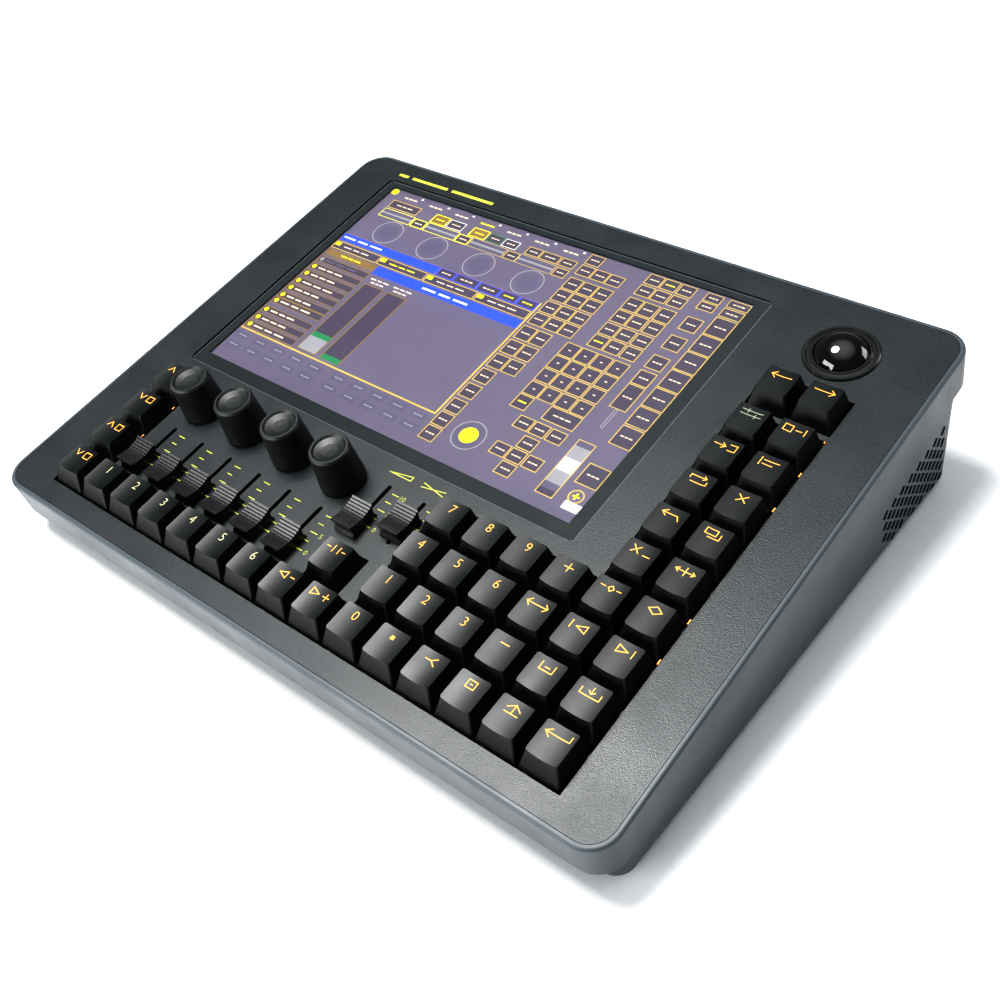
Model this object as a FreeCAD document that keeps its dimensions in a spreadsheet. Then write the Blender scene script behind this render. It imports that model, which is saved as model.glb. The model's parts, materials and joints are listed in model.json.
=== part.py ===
import FreeCAD, Part
import math
import os
import re

import Sketcher

# Lighting control desk: a wedge-shaped table-top console with a touch screen, keys, faders,
# encoders and a trackball on a sloping face plate, over a shallow tub that holds the electronics.
#
# Two coordinate frames are used, both in millimetres.
#   desk frame   x to the right, y to the rear, z up; origin on the table under the desk's centre
#   panel frame  x to the right, y up the slope, z out of the face plate; origin at the centre of
#                the face plate's top side. It is the desk frame lifted and tilted about x.

os.makedirs("parts", exist_ok=True)
doc = FreeCAD.newDocument("lighting_desk")

# ------------------------------------------------------------------ driving dimensions
DIMENSIONS = [
    ("desk_width", 337.5, "top frame, left to right"),
    ("desk_depth", 260.0, "top frame, front to rear along the slope"),
    ("panel_tilt", 8.5, "slope of the face plate, degrees"),
    ("panel_rise", 50.3, "height of the panel frame's origin above the table"),
    ("band_height", 18.0, "top frame, measured square to the panel"),
    ("frame_wall", 3.0, "top frame wall"),
    ("frame_corner", 12.5, "outer corner radius of the top frame"),
    ("flange_thick", 2.0, "inward flange at the foot of the top frame"),
    ("rim_width", 2.2, "visible rim of the top frame around the face plate"),
    ("rim_round", 1.3, "rounding of the rim's outer edge"),
    ("plate_thick", 2.0, "face plate"),
    ("plate_gap", 0.2, "gap between the face plate and the rim"),
    ("tub_inset", 0.8, "tub set in from the top frame at each side"),
    ("tub_depth", 240.0, "tub, front to rear"),
    ("tub_forward", 1.3, "tub set forward of the middle of the frame's foot"),
    ("tub_corner", 8.0, "tub's upright corner radius"),
    ("tub_round", 3.2, "rounding along the tub's bottom edge"),
    ("tub_wall", 2.5, "tub wall and floor"),
    ("foot_height", 2.5, "rubber foot"),
    ("foot_diameter", 16.0, "rubber foot"),
    ("vent_pitch", 4.8, "distance between neighbouring vent holes along a row"),
    ("vent_row_pitch", 5.05, "distance between rows of vent holes"),
    ("vent_length", 3.9, "vent hole across its row"),
    ("vent_width", 3.1, "vent hole along its row"),
    ("vent_front", 55.5, "front end of the vented area, up the slope"),
    ("vent_rear", 105.5, "rear end of the vented area, up the slope"),
    ("vent_top", -29.5, "top of the vented area, below the panel's surface"),
    ("vent_bottom", -61.0, "bottom of the vented area, below the panel's surface"),
    ("vent_grid_level", -42.25, "the vent grid is centred on this level"),
    ("key_pitch", 19.05, "distance between neighbouring keys"),
    ("key_base", 18.2, "side of a key cap at its foot"),
    ("key_top", 13.4, "side of a key cap's top"),
    ("key_lean", 1.75, "key cap's top set back from its foot"),
    ("key_height", 7.5, "key cap's top above the panel"),
    ("key_skirt", 1.0, "key cap's foot below the panel's surface"),
    ("key_wall", 1.3, "key cap wall"),
    ("key_corner", 1.0, "key cap's upright corner radius"),
    ("key_crown", 1.9, "key cap's thickness at its top"),
    ("key_travel", 4.0, "how far a key presses in"),
    ("dish_radius", 37.5, "hollow in a key cap's top"),
    ("dish_depth", 0.6, "hollow in a key cap's top"),
    ("stem_diameter", 5.5, "key cap's stem"),
    ("stem_drop", 4.4, "foot of the key cap's stem below the panel"),
    ("key_margin", 0.9, "gap between a key and the edge of its opening"),
    ("keys_right", 133.85, "centre of the right-hand key column"),
    ("keys_front", -107.85, "centre of the front key row"),
    ("upper_pair_gap", 3.6, "extra gap in front of the uppermost pair of keys"),
    ("switch_plate_top", -6.6, "top of the plate that holds the key switches"),
    ("switch_plate_thick", 1.5, "plate that holds the key switches"),
    ("switch_hole", 14.0, "square hole that a key switch snaps into"),
    ("switch_depth", 5.0, "key switch below its plate"),
    ("switch_collar", 15.4, "key switch where it rests on its plate"),
    ("switch_collar_thick", 1.0, "key switch where it rests on its plate"),
    ("switch_head", 10.0, "key switch above its collar"),
    ("switch_head_height", 6.0, "key switch above its plate"),
    ("switch_bore", 6.2, "bore in a key switch for the stem"),
    ("board_thick", 1.6, "circuit boards"),
    ("glass_width", 228.5, "touch glass"),
    ("glass_height", 147.0, "touch glass"),
    ("glass_thick", 1.8, "touch glass"),
    ("glass_sink", 0.8, "glass set below the face plate's surface"),
    ("glass_corner", 3.0, "touch glass corner radius"),
    ("glass_gap", 0.25, "gap between the glass and its window"),
    ("glass_right", 85.35, "right edge of the touch glass"),
    ("glass_middle", 41.0, "centre of the touch glass up the slope"),
    ("screen_module_thick", 5.0, "display behind the glass"),
    ("bracket_thick", 1.5, "bracket behind the display"),
    ("fader_travel", 20.0, "travel of every fader"),
    ("fader_slot_width", 2.0, "slot in the face plate"),
    ("fader_slot_length", 23.4, "slot in the face plate"),
    ("fader_cap_width", 11.0, "fader cap, across the slot"),
    ("fader_cap_length", 14.4, "fader cap, along the slot"),
    ("fader_cap_top", 7.2, "highest point of a fader cap above the panel"),
    ("fader_cap_foot", 0.6, "gap between the panel and a fader cap"),
    ("fader_dip", 1.5, "hollow along a fader cap's top"),
    ("fader_rib", 0.45, "depth of the grooves across a fader cap"),
    ("lever_width", 1.2, "fader lever, across the slot"),
    ("lever_length", 3.0, "fader lever, along the slot"),
    ("track_width", 8.5, "slide potentiometer"),
    ("track_length", 34.0, "slide potentiometer"),
    ("track_depth", 7.0, "slide potentiometer"),
    ("fader_right", 20.85, "centre of the right-hand fader"),
    ("fader_low_middle", -79.8, "middle of the playback faders' travel"),
    ("fader_high_middle", -57.2, "middle of the two main faders' travel"),
    ("encoder_pitch", 29.87, "distance between encoder knobs"),
    ("encoder_right", -18.95, "centre of the right-hand encoder"),
    ("encoder_row", -52.85, "encoders' place up the slope"),
    ("knob_foot_diameter", 20.0, "encoder knob at its foot"),
    ("knob_top_diameter", 17.3, "encoder knob at its top"),
    ("knob_height", 20.0, "encoder knob's top above the panel"),
    ("shaft_diameter", 6.0, "encoder shaft"),
    ("shaft_length", 22.0, "encoder shaft"),
    ("shaft_drop", 8.0, "foot of the encoder shaft below the panel's surface"),
    ("bushing_diameter", 9.0, "encoder bushing"),
    ("nut_diameter", 13.0, "nut on the encoder bushing"),
    ("encoder_side", 12.0, "encoder body"),
    ("encoder_depth", 7.0, "encoder body"),
    ("shaft_clearance", 0.05, "radial clearance of the shaft in its bushing"),
    ("ball_diameter", 25.4, "trackball"),
    ("ball_drop", 5.0, "ball's centre below the panel's surface"),
    ("ball_gap", 0.4, "gap all round the ball"),
    ("ball_ring_diameter", 31.6, "trim ring around the ball"),
    ("ball_barrel", 29.0, "part of the trim ring that passes through the face plate"),
    ("ball_hole", 29.2, "hole in the face plate for the trim ring"),
    ("ball_column", 125.7, "ball's centre across the panel"),
    ("ball_row", 99.15, "ball's centre up the slope"),
    ("rear_plate_width", 196.0, "connector plate on the rear wall"),
    ("rear_plate_height", 33.0, "connector plate on the rear wall"),
    ("rear_plate_thick", 1.5, "connector plate on the rear wall"),
    ("rear_middle", 31.0, "height of the connectors' centre line"),
    ("line_barrel", 23.0, "lighting-data socket, outside"),
    ("line_bore", 19.2, "lighting-data socket, where the plug's shell enters"),
    ("line_insert", 15.4, "lighting-data socket, the core with the contacts"),
    ("contact_circle", 9.8, "circle that the five contacts stand on"),
    ("contact_hole", 2.2, "hole of one contact"),
    ("network_width", 12.0, "network socket"),
    ("network_height", 8.6, "network socket"),
    ("usb_width", 12.6, "USB socket"),
    ("usb_height", 5.2, "USB socket"),
    ("usb_offset", 3.9, "USB socket above or below the centre line"),
    ("inlet_width", 24.4, "power inlet, where the plug enters"),
    ("inlet_height", 17.0, "power inlet, where the plug enters"),
    ("inlet_depth", 17.0, "power inlet, where the plug enters"),
    ("rocker_diameter", 18.8, "power switch's drum"),
    ("rocker_width", 12.2, "power switch's drum"),
    ("rocker_ridge", 3.0, "ridge of the rocker in front of the connector plate"),
    ("board_width", 156.0, "main board"),
    ("board_depth", 106.0, "main board"),
    ("board_level", 14.0, "underside of the main board above the table"),
    ("post_diameter", 6.5, "standoff under the main board"),
    ("screw_bore", 3.2, "hole for a casing screw"),
    ("screw_diameter", 3.0, "casing screw"),
    ("screw_head", 6.0, "casing screw's head"),
    ("sink_side", 50.0, "heat sink"),
    ("sink_base_thick", 3.0, "heat sink"),
    ("fin_thick", 1.2, "fin of the heat sink"),
    ("fin_height", 12.0, "fin of the heat sink, from the board"),
    ("supply_width", 86.0, "power supply"),
    ("supply_depth", 44.0, "power supply"),
    ("supply_height", 24.0, "power supply"),
    ("fan_side", 40.0, "fan frame"),
    ("fan_thick", 10.0, "fan frame"),
    ("fan_throat", 37.6, "round opening in the fan frame"),
    ("fan_hub", 15.0, "hub of the fan's rotor"),
]
sheet = doc.addObject("Spreadsheet::Sheet", "Sizes")
for row, (alias, amount, meaning) in enumerate(DIMENSIONS, start=1):
    sheet.set(f"A{row}", alias)
    sheet.set(f"B{row}", str(amount))
    sheet.set(f"C{row}", meaning)
    sheet.setAlias(f"B{row}", alias)
doc.recompute()


# ------------------------------------------------------------------ helpers
def link(text):
    """Turn 'key_pitch * 2' into 'Sizes.key_pitch * 2': every sheet alias has an underscore."""
    return re.sub(r"[a-z]+(?:_[a-z]+)+", lambda word: "Sizes." + word.group(0), str(text))


def drive(item, prop, text):
    """Bind one property of an object to an expression in the sheet's aliases."""
    item.setExpression(prop, link(text))


def amount_of(text):
    """The present value of an expression in the sheet's aliases."""
    return float(sheet.evalExpression(link(text)))


def box(name, length, width, height, x="0", y="0", z="0"):
    """A box centred on x and y, standing on z."""
    item = doc.addObject("Part::Box", name)
    drive(item, "Length", length)
    drive(item, "Width", width)
    drive(item, "Height", height)
    drive(item, "Placement.Base.x", f"({x}) - ({length}) / 2")
    drive(item, "Placement.Base.y", f"({y}) - ({width}) / 2")
    drive(item, "Placement.Base.z", z)
    return item


def cylinder(name, diameter, height, x="0", y="0", z="0", turn=(0, 0, 1, 0)):
    """A round bar that starts at x, y, z; turn is (axis x, y, z, degrees) and points it elsewhere."""
    item = doc.addObject("Part::Cylinder", name)
    drive(item, "Radius", f"({diameter}) / 2")
    drive(item, "Height", height)
    item.Placement.Rotation = FreeCAD.Rotation(FreeCAD.Vector(*turn[:3]), turn[3])
    drive(item, "Placement.Base.x", x)
    drive(item, "Placement.Base.y", y)
    drive(item, "Placement.Base.z", z)
    return item


ALONG_X = (0, 1, 0, 90)
ALONG_Y = (1, 0, 0, -90)


def sphere(name, diameter, x, y, z):
    item = doc.addObject("Part::Sphere", name)
    drive(item, "Radius", f"({diameter}) / 2")
    drive(item, "Placement.Base.x", x)
    drive(item, "Placement.Base.y", y)
    drive(item, "Placement.Base.z", z)
    return item


def fuse(name, pieces):
    item = doc.addObject("Part::MultiFuse", name)
    item.Shapes = pieces
    return item


def cut(name, base, *tools):
    """Take one or more tools away from the base."""
    item = doc.addObject("Part::Cut", name)
    item.Base = base
    item.Tool = tools[0] if len(tools) == 1 else group(name + "_tools", tools)
    return item


def group(name, pieces):
    """Several separate solids kept as one object."""
    item = doc.addObject("Part::Compound", name)
    item.Links = list(pieces)
    return item


def copy_of(template, name, x, y, z="0"):
    """A linked copy of a template, moved by x, y, z."""
    item = doc.addObject("App::Link", name)
    item.LinkedObject = template
    item.LinkTransform = True
    drive(item, "Placement", f"placement(vector({x}; {y}; {z}); rotation(vector(0; 0; 1); 0))")
    return item


def plane_of(body, role):
    """One of a body's own origin planes, by its role."""
    return next(plane for plane in body.Origin.OriginFeatures if plane.Role == role)


def sketch_on(body, role, name, lift="0", x="0", y="0"):
    """A sketch on an origin plane of the body, lifted along the plane's normal."""
    sketch = body.newObject("Sketcher::SketchObject", name)
    sketch.AttachmentSupport = [(plane_of(body, role), "")]
    sketch.MapMode = "FlatFace"
    drive(sketch, "AttachmentOffset.Base.x", x)
    drive(sketch, "AttachmentOffset.Base.y", y)
    drive(sketch, "AttachmentOffset.Base.z", lift)
    return sketch


def name_and_drive(sketch, index, name, text):
    sketch.renameConstraint(index, name)
    drive(sketch, f"Constraints.{name}", text)


def rounded_rectangle(sketch, width, depth, radius):
    """A rectangle with round corners, centred on the sketch's origin."""
    half_x, half_y, r = amount_of(width) / 2, amount_of(depth) / 2, amount_of(radius)
    vector, up = FreeCAD.Vector, FreeCAD.Vector(0, 0, 1)
    sides = [
        ((-half_x + r, -half_y), (half_x - r, -half_y)),
        ((half_x, -half_y + r), (half_x, half_y - r)),
        ((half_x - r, half_y), (-half_x + r, half_y)),
        ((-half_x, half_y - r), (-half_x, -half_y + r)),
    ]
    in_x, in_y = half_x - r, half_y - r
    corners = [(in_x, -in_y), (in_x, in_y), (-in_x, in_y), (-in_x, -in_y)]
    lines = [sketch.addGeometry(Part.LineSegment(vector(*a, 0), vector(*b, 0))) for a, b in sides]
    arcs = []
    for turn, corner in enumerate(corners):
        start = math.radians(-90 + 90 * turn)
        circle = Part.Circle(vector(*corner, 0), up, r)
        arcs.append(sketch.addGeometry(Part.ArcOfCircle(circle, start, start + math.pi / 2)))
    for k in range(4):
        sketch.addConstraint(Sketcher.Constraint("Tangent", lines[k], 2, arcs[k], 1))
        sketch.addConstraint(Sketcher.Constraint("Tangent", arcs[k], 2, lines[(k + 1) % 4], 1))
    for k, kind in enumerate(("Horizontal", "Vertical", "Horizontal", "Vertical")):
        sketch.addConstraint(Sketcher.Constraint(kind, lines[k]))
    for arc in arcs[1:]:
        sketch.addConstraint(Sketcher.Constraint("Equal", arcs[0], arc))
    sketch.addConstraint(Sketcher.Constraint("Symmetric", arcs[0], 3, arcs[2], 3, -1, 1))
    name_and_drive(sketch, sketch.addConstraint(Sketcher.Constraint("Radius", arcs[0], r)), "corner", radius)
    across = Sketcher.Constraint("DistanceX", lines[3], 1, lines[1], 1, 2 * half_x)
    name_and_drive(sketch, sketch.addConstraint(across), "across", width)
    along = Sketcher.Constraint("DistanceY", lines[0], 1, lines[2], 1, 2 * half_y)
    name_and_drive(sketch, sketch.addConstraint(along), "along", depth)


def polygon(sketch, points):
    """A closed outline; each corner is a pair of expressions measured from the sketch's origin."""
    spots = [(amount_of(x), amount_of(y)) for x, y in points]
    count = len(points)
    for k in range(count):
        a, b = spots[k], spots[(k + 1) % count]
        sketch.addGeometry(Part.LineSegment(FreeCAD.Vector(*a, 0), FreeCAD.Vector(*b, 0)))
    for k in range(count):
        sketch.addConstraint(Sketcher.Constraint("Coincident", k, 2, (k + 1) % count, 1))
    for k, (x, y) in enumerate(points):
        across = ("DistanceX", "x", x, spots[k][0])
        along = ("DistanceY", "y", y, spots[k][1])
        for kind, side, text, amount in (across, along):
            index = sketch.addConstraint(Sketcher.Constraint(kind, -1, 1, k, 1, amount))
            name_and_drive(sketch, index, f"corner{k}{side}", text)


def pad(body, sketch, name, length, centred=False):
    feature = body.newObject("PartDesign::Pad", name)
    feature.Profile = sketch
    drive(feature, "Length", length)
    feature.Midplane = centred
    sketch.Visibility = False
    return feature


def pocket(body, sketch, name, length):
    """Cut from the sketch down into the body, against the sketch's normal."""
    feature = body.newObject("PartDesign::Pocket", name)
    feature.Profile = sketch
    drive(feature, "Length", length)
    return feature


def rounded_block(name, width, depth, radius, height, x="0", y="0", z="0"):
    """A plate or block with round upright corners, centred on x and y and standing on z."""
    body = doc.addObject("PartDesign::Body", name)
    sketch = sketch_on(body, "XY_Plane", name + "_outline", lift=z, x=x, y=y)
    rounded_rectangle(sketch, width, depth, radius)
    pad(body, sketch, name + "_pad", height)
    return body


def edges_where(shape, test):
    """Names of a shape's edges whose centre of mass passes the test."""
    return [f"Edge{k}" for k, edge in enumerate(shape.Edges, start=1) if test(edge)]


def round_edges(body, base, name, radius, test):
    """Fillet the edges of the body's last feature that pass the test."""
    doc.recompute()
    feature = body.newObject("PartDesign::Fillet", name)
    feature.Base = (base, edges_where(base.Shape, test))
    drive(feature, "Radius", radius)
    return feature


STANDOFF_SPOTS = [("-60", "-15"), ("80", "-15"), ("-60", "75"), ("80", "75")]
FOOT_SPOTS = [("-140", "-95"), ("140", "-95"), ("-140", "95"), ("140", "95")]
BOARD_SPOT = ("10", "30")
SUPPLY_SPOT = ("-114", "72")
SINK_FINS = 10

NODES = []


def node(item, label):
    """Register a finished sub-part; the label names its node and its file."""
    item.Label = label
    NODES.append(item)
    return item


PANEL = (
    "placement(vector(0; -band_height * sin(panel_tilt) / 2; panel_rise); "
    "rotation(vector(1; 0; 0); panel_tilt))"
)


def on_panel(item, label):
    """A finished sub-part that was built in the panel frame, tilted and lifted into place."""
    if item.TypeId in ("Part::Box", "Part::Sphere"):
        item = group(item.Name + "_on_panel", [item])
    drive(item, "Placement", PANEL)
    return node(item, label)


def on_desk(item, label):
    """A finished sub-part that sits in the desk frame."""
    return node(item, label)


# ------------------------------------------------------------------ where the keys are
def key_spot(column, row):
    """Centre of a key's foot, as expressions; columns count from the right, rows from the front."""
    x = f"keys_right - {column} * key_pitch"
    y = f"keys_front + {row} * key_pitch"
    if row == 9:
        y += " + upper_pair_gap"
    return x, y


# Every node of keys: its name and the (column, row) of each of its keys.
KEY_GROUPS = {
    "page_keys": [(14, row) for row in range(4)],
    "playback_keys_left": [(column, 0) for column in (13, 12, 11)],
    "playback_keys_right": [(column, 0) for column in (10, 9, 8)],
    "go_back_key": [(7, 0)],
    "go_forward_key": [(6, 0)],
    "pause_key": [(6.5, 1)],
    "zero_and_point_keys": [(5, 0), (4, 0)],
    "front_word_keys": [(column, 0) for column in (3, 2, 1, 0)],
    "digit_keys_low": [(column, 1) for column in (5, 4, 3)],
    "digit_keys_middle": [(column, 2) for column in (5, 4, 3)],
    "digit_keys_high": [(column, 3) for column in (5, 4, 3)],
    "sign_keys": [(2, row) for row in (1, 2, 3)],
}
for row, name in enumerate(("one", "two", "three", "four", "five", "six", "seven", "eight"), start=1):
    KEY_GROUPS[f"command_keys_row_{name}"] = [(1, row), (0, row)]
KEY_GROUPS["ball_click_keys"] = [(1, 9), (0, 9)]

# The blocks that the keys stand in: (first column, last column, first row, last row).
KEY_FIELDS = [(0, 14, 0, 0), (14, 14, 0, 3), (0, 5, 0, 3), (0, 1, 0, 8), (6.5, 6.5, 0, 1), (0, 1, 9, 9)]


def key_field(name, field, margin, height, z):
    """A box over a block of keys, with a margin outside the keys' feet."""
    first_column, last_column, first_row, last_row = field
    x = f"keys_right - {(first_column + last_column) / 2} * key_pitch"
    y = f"keys_front + {(first_row + last_row) / 2} * key_pitch"
    if first_row == 9:
        y += " + upper_pair_gap"
    width = f"{last_column - first_column} * key_pitch + key_base + 2 * ({margin})"
    depth = f"{last_row - first_row} * key_pitch + key_base + 2 * ({margin})"
    return box(name, width, depth, height, x, y, z)


GLASS_SPOT = ("glass_right - glass_width / 2", "glass_middle")
ENCODERS = ("four", "three", "two", "one")


# ------------------------------------------------------------------ casing
def make_top_frame():
    """The sloping frame: an open tray with a flange inside its foot and a ledge for the face plate."""
    body = doc.addObject("PartDesign::Body", "top_frame_body")
    outline = sketch_on(body, "XY_Plane", "frame_outline", lift="-band_height")
    rounded_rectangle(outline, "desk_width", "desk_depth", "frame_corner")
    block = pad(body, outline, "frame_block", "band_height")
    round_edges(body, block, "frame_rim_round", "rim_round", lambda edge: edge.CenterOfMass.z > -0.01)
    ledge = sketch_on(body, "XY_Plane", "ledge_outline")
    rounded_rectangle(
        ledge, "desk_width - 2 * rim_width", "desk_depth - 2 * rim_width", "frame_corner - rim_width"
    )
    pocket(body, ledge, "plate_recess", "plate_thick")
    hollow = sketch_on(body, "XY_Plane", "hollow_outline")
    rounded_rectangle(
        hollow, "desk_width - 2 * frame_wall", "desk_depth - 2 * frame_wall", "frame_corner - frame_wall"
    )
    pocket(body, hollow, "frame_hollow", "band_height - flange_thick")
    window = sketch_on(body, "XY_Plane", "window_outline", y="-tub_forward")
    rounded_rectangle(
        window,
        "desk_width - 2 * (tub_inset + tub_wall)",
        "tub_depth - 2 * tub_wall",
        "tub_corner - tub_wall",
    )
    pocket(body, window, "frame_window", "2 * band_height")
    on_panel(body, "top_frame")


def vent_cutters():
    """Square holes on a grid turned half a right angle, through both side walls near the rear."""
    pitch, row_pitch = amount_of("vent_pitch"), amount_of("vent_row_pitch")
    length, width = amount_of("vent_length"), amount_of("vent_width")
    reach = amount_of("desk_width")
    front, rear = amount_of("vent_front"), amount_of("vent_rear")
    top, bottom = amount_of("vent_top"), amount_of("vent_bottom")
    lowest = amount_of("foot_height + tub_round / 2 + vent_length / 2")
    tilt = FreeCAD.Placement(
        FreeCAD.Vector(0, -amount_of("band_height * sin(panel_tilt) / 2"), amount_of("panel_rise")),
        FreeCAD.Rotation(FreeCAD.Vector(1, 0, 0), amount_of("panel_tilt")),
    )
    holes = []
    diagonal = math.sqrt(0.5)
    reach_in_holes = 14
    for row in range(-reach_in_holes, reach_in_holes + 1):
        for step in range(-reach_in_holes, reach_in_holes + 1):
            along, across = step * pitch, row * row_pitch
            y = (front + rear) / 2 + (along + across) * diagonal
            z = amount_of("vent_grid_level") + (across - along) * diagonal
            spot = tilt.multVec(FreeCAD.Vector(0, y, z))
            if not (front <= y <= rear and bottom <= z <= top and spot.z > lowest):
                continue
            hole = Part.makeBox(2 * reach, width, length, FreeCAD.Vector(-reach, -width / 2, -length / 2))
            hole.rotate(FreeCAD.Vector(), FreeCAD.Vector(1, 0, 0), -45)
            hole.translate(FreeCAD.Vector(0, y, z))
            holes.append(hole.transformed(tilt.Matrix))
    feature = doc.addObject("Part::Feature", "vent_holes")
    feature.Shape = Part.makeCompound(holes)
    return feature


# the tilt throws the frame's foot a little to the rear; the tub sits just forward of its middle
TUB_MIDDLE = "band_height * sin(panel_tilt) / 2 - tub_forward"
REAR_FACE = f"tub_depth / 2 + {TUB_MIDDLE}"
PLATE_FACE = f"{REAR_FACE} + rear_plate_thick"


def tub_block(name, inset, floor):
    """A block with round corners and a round bottom edge, as the outside or the inside of the tub."""
    low = amount_of("panel_rise / 4")
    body = doc.addObject("PartDesign::Body", name)
    outline = sketch_on(body, "XY_Plane", name + "_outline", lift=floor, y=TUB_MIDDLE)
    width = f"desk_width - 2 * (tub_inset + {inset})"
    rounded_rectangle(outline, width, f"tub_depth - 2 * {inset}", f"tub_corner - {inset}")
    block = pad(body, outline, name + "_pad", "2 * panel_rise")
    round_edges(body, block, name + "_round", f"tub_round - {inset}", lambda edge: edge.CenterOfMass.z < low)
    return body


def make_tub():
    """The tub under the frame: flat floor, upright walls, its top cut along the frame's foot."""
    outside = tub_block("tub_outside", "0", "foot_height")
    inside = tub_block("tub_inside", "tub_wall", "foot_height + tub_wall")
    above = box("above_tub", "2 * desk_width", "2 * desk_depth", "4 * panel_rise")
    lowered = " * placement(vector(-desk_width; -desk_depth; -band_height); rotation(0; 0; 0))"
    drive(above, "Placement", PANEL + lowered)
    rear_opening = box(
        "rear_opening",
        "rear_plate_width - 12",
        "10 * tub_wall",
        "rear_plate_height - 6",
        "0",
        REAR_FACE,
        "rear_middle - (rear_plate_height - 6) / 2",
    )
    screw_holes = [
        cylinder(f"floor_hole_{k}", "screw_bore", "4 * tub_wall", x, y)
        for k, (x, y) in enumerate(STANDOFF_SPOTS)
    ]
    shell = cut("tub_shell", outside, inside)
    on_desk(cut("tub", shell, above, rear_opening, vent_cutters(), *screw_holes), "lower_tub")


def make_face_plate():
    """The flat plate that carries the controls, with one opening for each block of keys."""
    gap = "2 * (rim_width + plate_gap)"
    plate = rounded_block(
        "plate_blank",
        f"desk_width - {gap}",
        f"desk_depth - {gap}",
        "frame_corner - rim_width - plate_gap",
        "plate_thick",
        z="-plate_thick",
    )
    through, below = "4 * plate_thick", "-3 * plate_thick"
    cutters = [
        key_field(f"key_opening_{k}", field, "key_margin", through, below)
        for k, field in enumerate(KEY_FIELDS)
    ]
    cutters.append(
        rounded_block(
            "glass_window",
            "glass_width + 2 * glass_gap",
            "glass_height + 2 * glass_gap",
            "glass_corner + glass_gap",
            through,
            *GLASS_SPOT,
            below,
        )
    )
    for name, x, y in FADERS.values():
        width, length = "fader_slot_width", "fader_slot_length"
        cutters.append(rounded_block(f"slot_{name}", width, length, f"0.49 * {width}", through, x, y, below))
    for k in range(len(ENCODERS)):
        x = f"encoder_right - {k} * encoder_pitch"
        cutters.append(
            cylinder(f"encoder_hole_{k}", "bushing_diameter + plate_gap", through, x, "encoder_row", below)
        )
    cutters.append(cylinder("trackball_hole", "ball_hole", through, "ball_column", "ball_row", below))
    on_panel(cut("plate_with_openings", plate, *cutters), "face_plate")


# ------------------------------------------------------------------ screen
def make_screen():
    """Touch glass in the plate's window, the display behind it and the bracket that holds both."""
    width, height = "glass_width", "glass_height"
    glass_foot = "-glass_sink - glass_thick"
    glass = rounded_block("glass", width, height, "glass_corner", "glass_thick", *GLASS_SPOT, glass_foot)
    on_panel(glass, "touch_glass")
    module_foot = f"{glass_foot} - screen_module_thick"
    overlap = 3.0
    module_size = (f"{width} + {overlap}", f"{height} + {overlap}", "screen_module_thick")
    module = box("module", *module_size, *GLASS_SPOT, module_foot)
    on_panel(module, "display_panel")
    bracket_foot = f"{module_foot} - bracket_thick"
    bracket_height = f"-plate_thick - ({bracket_foot})"
    outer = box("bracket_outer", f"{width} + 10", f"{height} + 9", bracket_height, *GLASS_SPOT, bracket_foot)
    inside = overlap + 0.4
    recess_size = (f"{width} + {inside}", f"{height} + {inside}", "20")
    recess = box("bracket_recess", *recess_size, *GLASS_SPOT, module_foot)
    window = box("bracket_window", f"{width} - 30", f"{height} - 30", "40", *GLASS_SPOT, "-30")
    on_panel(cut("bracket", outer, recess, window), "display_bracket")


# ------------------------------------------------------------------ keys
def make_key_template():
    """One key cap: four leaning sides, a dished top, a hollow inside and a stem for the switch."""
    body = doc.addObject("PartDesign::Body", "key_template")

    def skin(name, shrink, top):
        foot = sketch_on(body, "XY_Plane", name + "_foot", lift="-key_skirt")
        foot_side = f"key_base - 2 * {shrink}"
        rounded_rectangle(foot, foot_side, foot_side, "key_corner")
        head = sketch_on(body, "XY_Plane", name + "_head", lift=top, y="key_lean")
        head_side = f"key_top - 2 * {shrink}"
        rounded_rectangle(head, head_side, head_side, "key_corner")
        return foot, head

    foot, head = skin("outer", "0", "key_height")
    outer = body.newObject("PartDesign::AdditiveLoft", "key_outer")
    outer.Profile = foot
    outer.Sections = [head]
    outer.Ruled = True
    dish = sketch_on(body, "XZ_Plane", "dish_outline")
    up = FreeCAD.Vector(0, 0, 1)
    dish_level = "key_height - dish_depth + dish_radius"
    level, radius = amount_of(dish_level), amount_of("dish_radius")
    circle = dish.addGeometry(Part.Circle(FreeCAD.Vector(0, level, 0), up, radius))
    dish.addConstraint(Sketcher.Constraint("PointOnObject", circle, 3, -2))
    size = dish.addConstraint(Sketcher.Constraint("Radius", circle, radius))
    name_and_drive(dish, size, "hollow", "dish_radius")
    height = dish.addConstraint(Sketcher.Constraint("DistanceY", -1, 1, circle, 3, level))
    name_and_drive(dish, height, "level", dish_level)
    scoop = body.newObject("PartDesign::Pocket", "key_dish")
    scoop.Profile = dish
    scoop.Midplane = True
    drive(scoop, "Length", "3 * key_base")
    foot, head = skin("inner", "key_wall", "key_height - key_crown")
    inner = body.newObject("PartDesign::SubtractiveLoft", "key_inner")
    inner.Profile = foot
    inner.Sections = [head]
    inner.Ruled = True
    stem = sketch_on(body, "XY_Plane", "stem_outline", lift="-stem_drop")
    radius = amount_of("stem_diameter / 2")
    circle = stem.addGeometry(Part.Circle(FreeCAD.Vector(), up, radius))
    stem.addConstraint(Sketcher.Constraint("Coincident", circle, 3, -1, 1))
    size = stem.addConstraint(Sketcher.Constraint("Radius", circle, radius))
    name_and_drive(stem, size, "thickness", "stem_diameter / 2")
    pad(body, stem, "key_stem", "stem_drop + key_height - 2 * dish_depth")
    return body


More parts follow.
